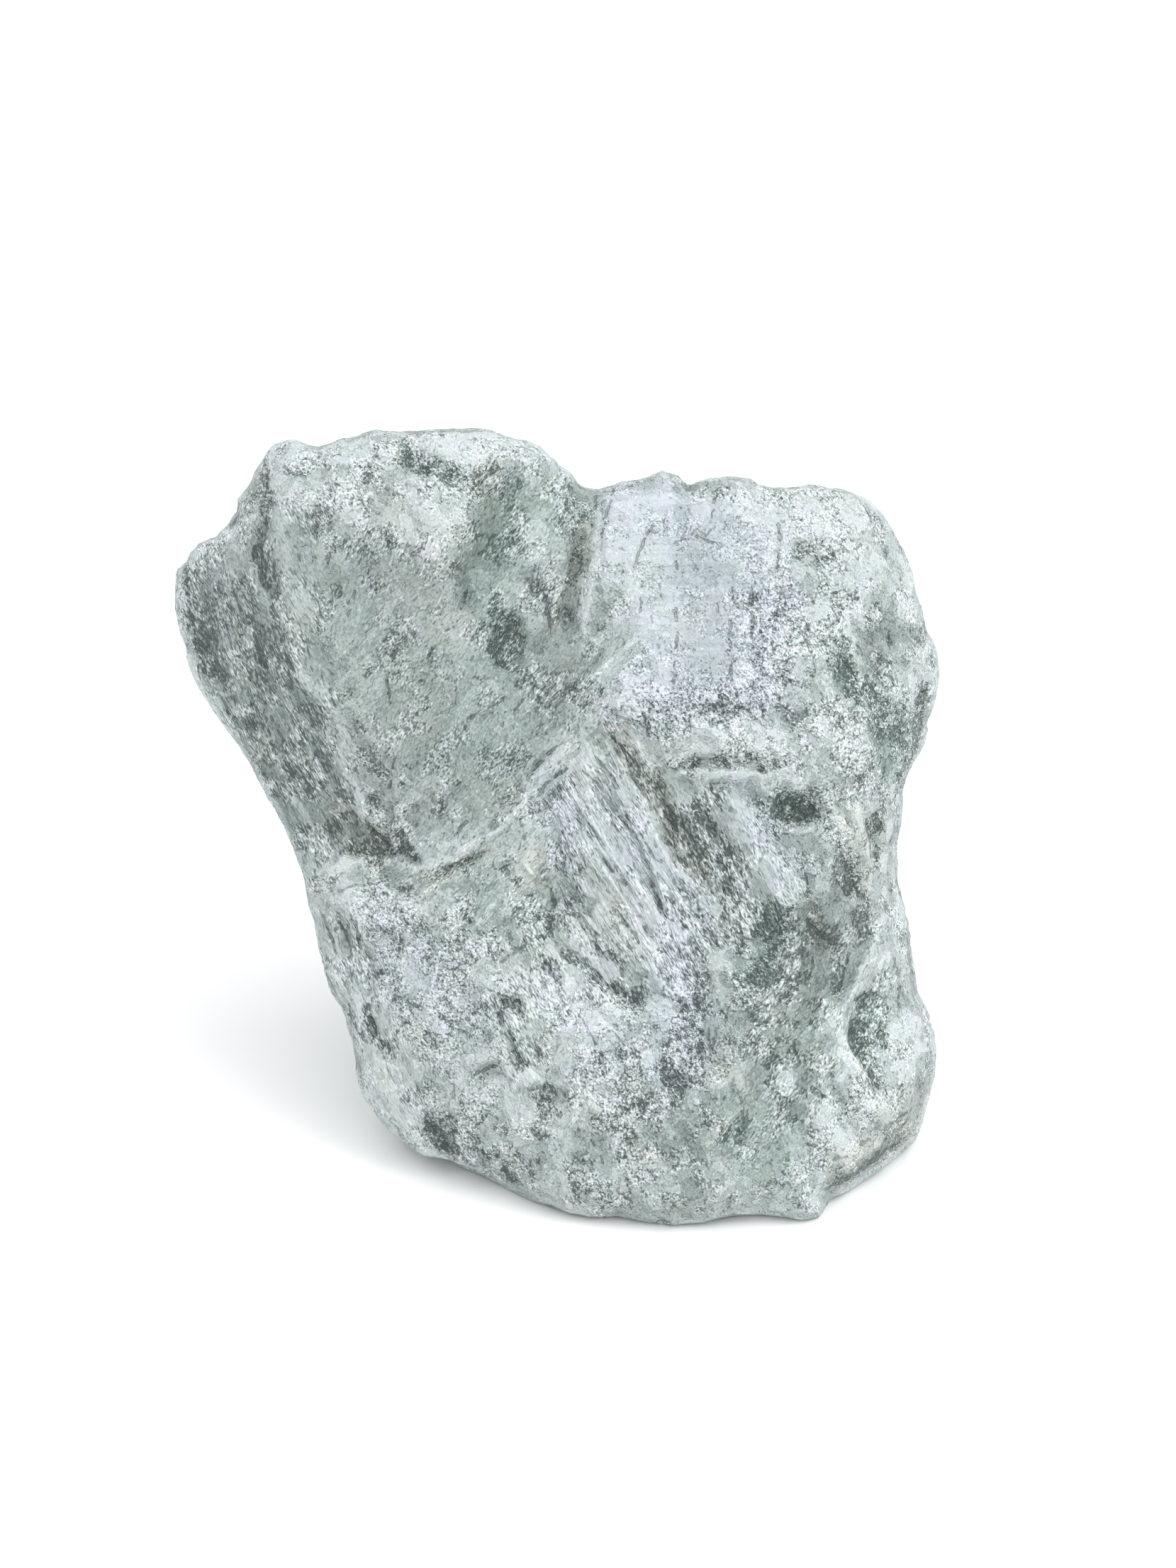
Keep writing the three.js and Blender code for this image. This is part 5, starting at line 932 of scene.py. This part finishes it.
def line_field(lines):
    """Signed distance in chart units to the nearest thin line, how close it is from 0 to 1, and its strength."""
    best, signed, strength = np.full(len(P), 1e9), np.full(len(P), 12.0), np.zeros(len(P))
    lx, ly = cx + 1.6 * wob3, cy + 1.6 * wob4
    for amount, *line in lines:
        pts = [(line[a], line[a + 1]) for a in range(0, len(line), 2)]
        xs, ys = [p[0] for p in pts], [p[1] for p in pts]
        near = np.nonzero((lx > min(xs) - 12) & (lx < max(xs) + 12) & (ly > min(ys) - 12) & (ly < max(ys) + 12))[0]
        if len(near):
            d, side, where = polyline(pts, lx[near], ly[near])
            take = d < best[near]
            k = near[take]
            best[k] = d[take]
            signed[k] = (d * side)[take]
            strength[k] = (amount * np.sqrt(np.minimum(1, 5 * np.minimum(where, 1 - where) + 0.15)))[take]
    close = smooth(1.6 * (1 - best / 12)) * worked
    return np.clip(signed, -12, 12), close * strength


# narrow grooves of FINE become cracks darkened with painted shade, narrow ridges become lit edges with painted
# highlights
crack_lines = [(min(0.8, 0.45 + 0.4 * s[0]),) + tuple(s[3:]) for s in FINE if s[0] > 0 and max(s[1], s[2]) < 12] + CRACKS
crack_side, crack = line_field(crack_lines)
edge_side, edge_light = line_field([(min(1, -0.75 * s[0]),) + tuple(s[3:]) for s in FINE if s[0] < 0 and max(s[1], s[2]) < 10] + EDGES)
lift = np.clip((z - REST_LEVEL) / 7, 0, 1)
axis_away = np.array([0, COS, -SIN])
P = P + N * (detail * lift)[:, None] + axis_away * (fine * worked * lift)[:, None]
P[:, 2] -= REST_LEVEL
P[on_base | (P[:, 2] < 0), 2] = 0
P[:, 0] += ORIGIN_SHIFT[0]
P[:, 1] += ORIGIN_SHIFT[1]

# nothing stands out past the solid: the last 1.5 mm are eased in
for axis in range(3):
    low_end, high_end = cad_box[0][axis] * 1000, cad_box[1][axis] * 1000
    past = np.maximum(P[:, axis] - (high_end - 1.5), 0)
    P[:, axis] -= past - 1.45 * (1 - np.exp(-past / 1.45))
    if axis < 2:
        past = np.maximum((low_end + 1.5) - P[:, axis], 0)
        P[:, axis] += past - 1.45 * (1 - np.exp(-past / 1.45))

# ---- ridges and hollows: crests lighter, partly bruised stone and partly painted light, and hollows darker as painted shade ----
N = corner_normals(P)
fine_ridge = ((P - averaged(P, 3)) * N).sum(1)
mid_ridge = ((P - averaged(P, 14)) * N).sum(1)
wide_ridge = ((P - averaged(P, 60)) * N).sum(1)
crest_light_hollow_shade = np.clip(fine_ridge / 0.16, -1, 1) * 0.45 + np.clip(mid_ridge / 0.5, -1, 1) * 0.35 + np.clip(wide_ridge / 1.6, -1, 1) * 0.35
crest_light_hollow_shade = averaged(crest_light_hollow_shade, 1, 0.5)

# ---- the stone's mesh ----
mesh = bpy.data.meshes.new("boulder_stone")
mesh.vertices.add(len(P))
mesh.vertices.foreach_set("co", (P / 1000).astype(np.float32).ravel())
mesh.loops.add(len(tris) * 3)
mesh.loops.foreach_set("vertex_index", tris.astype(np.int32).ravel())
mesh.polygons.add(len(tris))
mesh.polygons.foreach_set("loop_start", np.arange(0, len(tris) * 3, 3, dtype=np.int32))
mesh.polygons.foreach_set("loop_total", np.full(len(tris), 3, dtype=np.int32))
mesh.polygons.foreach_set("use_smooth", np.ones(len(tris), bool))
mesh.update(calc_edges=True)
mesh.validate()
for name, value in (("clump", clump), ("falling", falling), ("rising", rising), ("broad_tone_and_shade", broad_tone_and_shade), ("crack", crack), ("crack_side", crack_side),
                    ("edge_light", edge_light), ("edge_side", edge_side), ("green", green), ("violet", violet), ("brown_tint_and_warm_shade", brown_tint_and_warm_shade), ("speck", speck), ("sleek", sleek),
                    ("crest_light_hollow_shade", crest_light_hollow_shade), ("tool", tool), ("cleaved", cleaved)):
    mesh.attributes.new(name, "FLOAT", "POINT").data.foreach_set("value", value.astype(np.float32))
mesh.attributes.new("chart", "FLOAT_VECTOR", "POINT").data.foreach_set(
    "vector", np.stack([cx, cy, np.zeros(len(P))], 1).astype(np.float32).ravel())
stone = bpy.data.objects.new("boulder_stone", mesh)
bpy.context.scene.collection.objects.link(stone)


# ---- the stone's finish ----
def linear(r, g, b):
    return tuple((c / 255 / 12.92 if c <= 10.3 else ((c / 255 + 0.055) / 1.055) ** 2.4) for c in (r, g, b)) + (1.0,)


mat = bpy.data.materials.new("soapstone_raw")
mat.use_nodes = True
tree = mat.node_tree
tree.nodes.clear()


def link(value, socket):
    if hasattr(value, "links"):
        tree.links.new(value, socket)
    else:
        socket.default_value = value


def node(kind, **settings):
    n = tree.nodes.new(kind)
    for k, v in settings.items():
        setattr(n, k, v)
    return n


def calc(op, a, b=0.0, c=0.0, clamp=False):
    n = node("ShaderNodeMath", operation=op, use_clamp=clamp)
    for k, v in enumerate((a, b, c)):
        if k < len(n.inputs):
            link(v, n.inputs[k])
    return n.outputs[0]


def add(a, b): return calc("ADD", a, b)
def sub(a, b): return calc("SUBTRACT", a, b)
def mul(a, b): return calc("MULTIPLY", a, b)
def clamp01(a): return calc("ADD", a, 0.0, clamp=True)


def band(value, low, high, to_low=0.0, to_high=1.0):
    n = node("ShaderNodeMapRange", interpolation_type="SMOOTHSTEP")
    link(value, n.inputs["Value"])
    for k, v in (("From Min", low), ("From Max", high), ("To Min", to_low), ("To Max", to_high)):
        link(v, n.inputs[k])
    return n.outputs[0]


def blend(factor, a, b, mode="MIX"):
    n = node("ShaderNodeMix", data_type="RGBA", blend_type=mode, clamp_factor=True)
    link(factor, n.inputs[0])
    link(a, n.inputs[6])
    link(b, n.inputs[7])
    return n.outputs[2]


def attr(name, vector=False):
    n = node("ShaderNodeAttribute", attribute_type="GEOMETRY", attribute_name=name)
    return n.outputs["Vector" if vector else "Fac"]


def place(vector, kind="POINT", scale=(1, 1, 1), rotation=(0, 0, 0), location=(0, 0, 0)):
    n = node("ShaderNodeMapping", vector_type=kind)
    link(vector, n.inputs["Vector"])
    n.inputs["Scale"].default_value = scale
    n.inputs["Rotation"].default_value = rotation
    n.inputs["Location"].default_value = location
    return n.outputs[0]


def noise(vector, scale, detail=2.0, roughness=0.5, distortion=0.0):
    n = node("ShaderNodeTexNoise", noise_dimensions="3D")
    link(vector, n.inputs["Vector"])
    n.inputs["Scale"].default_value = scale
    n.inputs["Detail"].default_value = detail
    n.inputs["Roughness"].default_value = roughness
    n.inputs["Distortion"].default_value = distortion
    return n.outputs[0]


coords = node("ShaderNodeTexCoord").outputs["Object"]
mm = place(coords, scale=(1000, 1000, 1000))


def along(direction, size):
    n = node("ShaderNodeVectorMath", operation="DOT_PRODUCT")
    link(mm, n.inputs[0])
    n.inputs[1].default_value = tuple(float(c) / size for c in direction)
    return n.outputs["Value"]


def foliated(a, b, c):
    n = node("ShaderNodeCombineXYZ")
    link(along(LEAF, a), n.inputs[0])
    link(along(LEAF_U, b), n.inputs[1])
    link(along(LEAF_V, c), n.inputs[2])
    return n.outputs[0]


def flakes(vector, size, warp, seed):
    """Flat broken flakes: three random numbers per flake, a height that tilts each its own way, and the distance to its edge in mm."""
    small = place(vector, scale=(1 / size,) * 3, location=(seed, 2.3 * seed, -1.7 * seed))
    shift = node("ShaderNodeTexNoise", noise_dimensions="3D")
    link(small, shift.inputs["Vector"])
    shift.inputs["Scale"].default_value = 1.4
    shift.inputs["Detail"].default_value = 3
    shift.inputs["Roughness"].default_value = 0.7
    bent = node("ShaderNodeVectorMath", operation="MULTIPLY_ADD")
    link(shift.outputs["Color"], bent.inputs[0])
    bent.inputs[1].default_value = (warp, warp, warp)
    link(small, bent.inputs[2])
    cell = node("ShaderNodeTexVoronoi", voronoi_dimensions="3D", feature="F1")
    rim_of = node("ShaderNodeTexVoronoi", voronoi_dimensions="3D", feature="DISTANCE_TO_EDGE")
    for n in (cell, rim_of):
        link(bent.outputs[0], n.inputs["Vector"])
        n.inputs["Scale"].default_value = 1.0
    parts = node("ShaderNodeSeparateColor")
    link(cell.outputs["Color"], parts.inputs[0])
    offset = node("ShaderNodeVectorMath", operation="SUBTRACT")
    link(bent.outputs[0], offset.inputs[0])
    link(cell.outputs["Position"], offset.inputs[1])
    tilt = node("ShaderNodeVectorMath", operation="SUBTRACT")
    link(cell.outputs["Color"], tilt.inputs[0])
    tilt.inputs[1].default_value = (0.5, 0.5, 0.5)
    plane = node("ShaderNodeVectorMath", operation="DOT_PRODUCT")
    link(offset.outputs[0], plane.inputs[0])
    link(tilt.outputs[0], plane.inputs[1])
    return (*(sub(p, 0.5) for p in parts.outputs[:3]), mul(plane.outputs["Value"], size), mul(rim_of.outputs["Distance"], size))


clump_a, broad_tone_and_shade_a, falling_a, rising_a = attr("clump"), attr("broad_tone_and_shade"), attr("falling"), attr("rising")
crest_light_hollow_shade_a, speck_a, sleek_a = attr("crest_light_hollow_shade"), attr("speck"), attr("sleek")
green_a, violet_a, brown_tint_and_warm_shade_a, tool_a, cleaved_a = attr("green"), attr("violet"), attr("brown_tint_and_warm_shade"), attr("tool"), attr("cleaved")
chart_a = attr("chart", True)

def sheared(axes, a, b, c):
    n = node("ShaderNodeCombineXYZ")
    for k, size in enumerate((a, b, c)):
        link(along(axes[k], size), n.inputs[k])
    return n.outputs[0]


def choose(factor, a, b):
    n = node("ShaderNodeMix", data_type="VECTOR", clamp_factor=True)
    link(factor, n.inputs[0])
    link(a, n.inputs[4])
    link(b, n.inputs[5])
    return n.outputs[1]


# coordinates in mm, drawn out along the shear of each zone
ragged = mul(sub(noise(mm, 1 / 3.0, 3, 0.7), 0.5), 2.2)
grain_way = choose(calc("GREATER_THAN", add(falling_a, ragged), 0.5), sheared((LEAF_U, LEAF_V, LEAF), 1.25, 1.0, 0.8), sheared(FALL_AXES, 2.0, 0.75, 1.1))
grain_way = choose(calc("GREATER_THAN", add(rising_a, ragged), 0.5), grain_way, sheared(RISE_AXES, 1.45, 0.85, 1.1))
wide = noise(mm, 1 / 34, 2, 0.5, 0.3)
tint = noise(place(mm, location=(0, 90, 0)), 1 / 17, 3, 0.6)
lump = sub(noise(place(grain_way, location=(0, 60, 0)), 1 / 6.5, 3, 0.62), 0.5)
crumb = sub(noise(place(grain_way, location=(30, 0, 0)), 1 / 2.3, 1, 0.55), 0.5)
coil = sub(noise(place(grain_way, location=(0, 0, 50)), 1 / 5.2, 2, 0.6), 0.5)
grit = sub(noise(place(grain_way, location=(70, 0, 0)), 1 / 1.1, 1, 0.5), 0.5)
dust = sub(noise(place(grain_way, location=(0, 110, 0)), 1 / 0.75, 0, 0.5), 0.5)
here = sub(noise(place(mm, location=(0, 0, 20)), 1 / 5.0, 1, 0.5), 0.5)
there = sub(noise(place(mm, location=(20, 0, 0)), 1 / 9.0, 1, 0.5), 0.5)

# layers of crust, each ending in a sharp ragged edge with shade under it; some ground is rough and some smooth
rough = band(add(noise(mm, 1 / 12, 2, 0.62), mul(speck_a, 0.20)), 0.49, 0.58, 0.0, 1.0)
lively = mul(rough, sub(add(1.0, mul(speck_a, 0.4)), add(mul(sleek_a, 0.50), mul(tool_a, 0.22))))
bold = sub(1.0, add(mul(sleek_a, 0.62), mul(tool_a, 0.16)))
field = add(clump_a, mul(lump, add(1.7, mul(lively, 3.0))))
# more crust on crests and less in hollows: partly bruising, partly painted light and shade
field = add(field, mul(crest_light_hollow_shade_a, 0.35))
LEDGES = [(-0.50, 0.22, 0.08), (0.10, 0.08, 0.19), (0.78, 0.10, 0.19)]
shade_here = mul(band(here, -0.03, 0.03), band(crumb, -0.10, 0.02, 0.35, 1.0))
lit_here = band(here, 0.03, -0.02)
stacked, shade, lit_edge = 0.0, 0.0, 0.0
bared = add(0.30, mul(lively, 0.75))
for at, gain, rim in LEDGES:
    up = band(field, at - 0.02, at + 0.02)
    stacked = add(stacked, mul(up, gain) if at > 0 else mul(mul(sub(up, 1.0), gain), bared))
    shade = add(shade, mul(sub(band(field, at - 0.30, at - 0.20), up), rim))
    lit_edge = add(lit_edge, sub(up, band(field, at + 0.16, at + 0.24)))
shade = mul(mul(shade, shade_here), add(0.3, mul(lively, 0.8)))
lit_edge = mul(lit_edge, lit_here)

# crumbs standing on it, nicks in it, and thin coiling gaps darkened with painted shade
crumbs = band(crumb, sub(0.175, mul(lively, 0.080)), sub(0.190, mul(lively, 0.080)))
nicks = band(crumb, add(-0.185, mul(lively, 0.056)), add(-0.200, mul(lively, 0.056)))
shaded_gap = mul(band(calc("ABSOLUTE", coil), 0.032, 0.016), mul(band(add(there, mul(speck_a, 0.12)), -0.01, 0.005), add(0.40, mul(lively, 0.60))))

# the base value takes the face tones, partly painted light and shade
value = add(add(0.56, mul(broad_tone_and_shade_a, 0.60)), mul(sub(wide, 0.5), 0.20))
value = add(value, mul(sub(stacked, 0.080), bold))
# crests lighter and hollows darker: partly bruising, partly painted light and shade
value = add(value, add(mul(crest_light_hollow_shade_a, 0.08), mul(lively, 0.045)))
value = add(value, mul(mul(grit, 0.85), add(0.25, mul(lively, 1.0))))
value = add(value, mul(sub(mul(band(dust, 0.10, 0.12), 0.17), mul(band(dust, -0.12, -0.14), 0.24)), sub(add(0.45, mul(rough, 0.75)), mul(tool_a, 0.20))))
value = sub(value, mul(shade, bold))
value = add(value, mul(mul(lit_edge, add(0.05, mul(lively, 0.09))), bold))
value = add(value, mul(crumbs, 0.17))
value = sub(value, mul(nicks, 0.25))
# painted shade in the coiling gaps
value = sub(value, mul(shaded_gap, sub(0.30, mul(tool_a, 0.16))))

# laid out cracks, darkened as painted shade, and lit edges, lightened as painted highlights, on the front
broken_line = mul(here, 3.5)
jag = mul(crumb, 7.0)
shaded_crack = mul(band(sub(calc("ABSOLUTE", add(attr("crack_side"), jag)), mul(band(attr("crack"), 0.70, 1.0), 2.4)), 2.3, 0.9), band(add(attr("crack"), broken_line), 0.45, 0.60))
lit = mul(band(calc("ABSOLUTE", add(attr("edge_side"), jag)), 3.4, 1.4), band(add(attr("edge_light"), broken_line), 0.55, 0.75))
value = sub(value, mul(shaded_crack, 0.24))
value = add(value, mul(lit, 0.12))

# parallel marks, and the sharp edges of the split plates with painted shade at the foot of each edge
hatch = noise(place(chart_a, scale=(1 / 70, 1 / 5.0, 1)), 1.0, 1, 0.6)
upright = noise(place(chart_a, scale=(1 / 14, 1 / 260, 1), location=(0, 0, 4)), 1.0, 1, 0.6)
slant = noise(place(chart_a, "TEXTURE", scale=(120, 8, 1), rotation=(0, 0, math.radians(57))), 1.0, 1, 0.6)
split = noise(place(chart_a, "TEXTURE", scale=(230, 17, 1), rotation=(0, 0, math.radians(57)), location=(40, 0, 0)), 1.0, 1, 0.6)
marks_h = mul(add(mul(sub(hatch, 0.5), 0.55), mul(sub(upright, 0.5), 0.25)), tool_a)
plate = mul(add(band(split, 0.41, 0.42), add(band(split, 0.51, 0.52), band(split, 0.60, 0.61))), cleaved_a)
plate_edge_shade = mul(add(sub(band(split, 0.385, 0.395), band(split, 0.41, 0.42)), sub(band(split, 0.49, 0.50), band(split, 0.51, 0.52))), cleaved_a)
steps_h = mul(sub(slant, 0.5), cleaved_a)
value = add(value, mul(marks_h, 0.40))
value = add(value, mul(steps_h, 0.45))
# painted shade under each plate edge
value = add(value, sub(mul(plate, 0.045), mul(mul(plate_edge_shade, shade_here), 0.20)))

ramp = node("ShaderNodeValToRGB")
ramp.color_ramp.interpolation = "LINEAR"
stops = [(0.0, (84, 94, 94)), (0.22, (118, 128, 127)), (0.42, (150, 160, 159)), (0.60, (180, 190, 189)), (0.80, (208, 216, 217)), (1.0, (234, 241, 243))]
while len(ramp.color_ramp.elements) < len(stops):
    ramp.color_ramp.elements.new(0.5)
for e, (at, rgb) in zip(ramp.color_ramp.elements, stops):
    e.position = at
for e, (at, rgb) in zip(ramp.color_ramp.elements, stops):
    e.color = tuple(0.84 * c for c in linear(*rgb)[:3]) + (1.0,)
link(value, ramp.inputs[0])
colour = ramp.outputs[0]

low_value = band(value, 0.75, 0.30)
colour = blend(mul(add(0.22, mul(green_a, 0.6)), add(0.25, mul(low_value, 0.75))), colour, (0.90, 1.0, 0.93, 1), "MULTIPLY")
colour = blend(mul(violet_a, 0.85), colour, (0.98, 0.975, 1.045, 1), "MULTIPLY")
colour = blend(mul(band(tint, 0.50, 0.68), 0.5), colour, (1.03, 0.985, 0.94, 1), "MULTIPLY")
colour = blend(mul(band(coil, 0.02, 0.10), 0.6), colour, (1.02, 0.985, 1.03, 1), "MULTIPLY")
colour = blend(mul(band(coil, -0.02, -0.10), 0.6), colour, (0.98, 1.0, 0.975, 1), "MULTIPLY")
# brownish tint from the b patches, partly painted warm shade in the gully and pocket and painted warm bounce light
# under the lower right rim
colour = blend(mul(brown_tint_and_warm_shade_a, 0.9), colour, (1.02, 0.965, 0.91, 1), "MULTIPLY")

height = add(mul(lump, 1.6), add(mul(crumb, 0.8), mul(grit, 0.5)))
height = mul(height, lively)
height = add(height, mul(stacked, 2.8))
height = add(height, sub(mul(crumbs, 0.28), mul(nicks, 0.34)))
height = sub(height, add(mul(shaded_gap, 0.35), mul(shaded_crack, 0.45)))
height = add(height, add(mul(marks_h, 0.6), add(mul(steps_h, 0.9), mul(plate, 0.35))))
bump = node("ShaderNodeBump")
bump.inputs["Strength"].default_value = 1.0
bump.inputs["Distance"].default_value = 0.001
link(height, bump.inputs["Height"])

shader = node("ShaderNodeBsdfPrincipled")
link(colour, shader.inputs["Base Color"])
link(bump.outputs[0], shader.inputs["Normal"])
link(band(value, 0.2, 0.8, 0.56, 0.86), shader.inputs["Roughness"])
shader.inputs["Specular IOR Level"].default_value = 0.35
out = node("ShaderNodeOutputMaterial")
link(shader.outputs[0], out.inputs["Surface"])
mesh.materials.append(mat)

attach(stone, "root")
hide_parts("boulder")

# ---- pale floor, soft light, camera ----
bpy.ops.mesh.primitive_circle_add(vertices=64, radius=40, fill_type="TRIFAN", location=(0, 0, -0.0002))
floor = bpy.context.object
floor.name = "pale_floor"
pale = bpy.data.materials.new("pale_floor")
pale.use_nodes = True
pale.node_tree.nodes["Principled BSDF"].inputs["Base Color"].default_value = (0.93, 0.93, 0.93, 1)
pale.node_tree.nodes["Principled BSDF"].inputs["Roughness"].default_value = 0.95
pale.node_tree.nodes["Principled BSDF"].inputs["Specular IOR Level"].default_value = 0.1
floor.data.materials.append(pale)
floor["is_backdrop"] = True

world = bpy.data.worlds.new("soft_studio")
bpy.context.scene.world = world
world.use_nodes = True
world.node_tree.nodes["Background"].inputs["Color"].default_value = (0.985, 0.99, 1.0, 1)
world.node_tree.nodes["Background"].inputs["Strength"].default_value = 1.02


def sun(name, strength, spread, direction):
    data = bpy.data.lights.new(name, "SUN")
    data.energy = strength
    data.angle = math.radians(spread)
    obj = bpy.data.objects.new(name, data)
    d = np.array(direction, float)
    d /= np.linalg.norm(d)
    obj.rotation_euler = (math.acos(d[2]), 0, math.atan2(d[0], -d[1]))
    bpy.context.scene.collection.objects.link(obj)


sun("key", 1.20, 85, (0.34, -0.40, 0.85))
sun("edge", 0.60, 28, (0.50, -0.34, 0.80))

camera_data = bpy.data.cameras.new("camera")
camera_data.sensor_fit = "HORIZONTAL"
camera_data.sensor_width = 36
camera_data.lens = FOCAL / 1659 * 36
camera = bpy.data.objects.new("camera", camera_data)
camera.location = (ORIGIN_SHIFT[0] / 1000, (ORIGIN_SHIFT[1] - POLE_DISTANCE * COS) / 1000, (POLE_DISTANCE * SIN - REST_LEVEL) / 1000)
camera.rotation_euler = (math.radians(90 - CHART_TILT_DEG), 0, 0)
bpy.context.scene.collection.objects.link(camera)
bpy.context.scene.camera = camera
bpy.context.scene.view_settings.view_transform = "Standard"


def plain(box):
    return [[float(c) for c in corner] for corner in box]


{"cad": plain(cad_box), "visual": plain(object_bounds())}
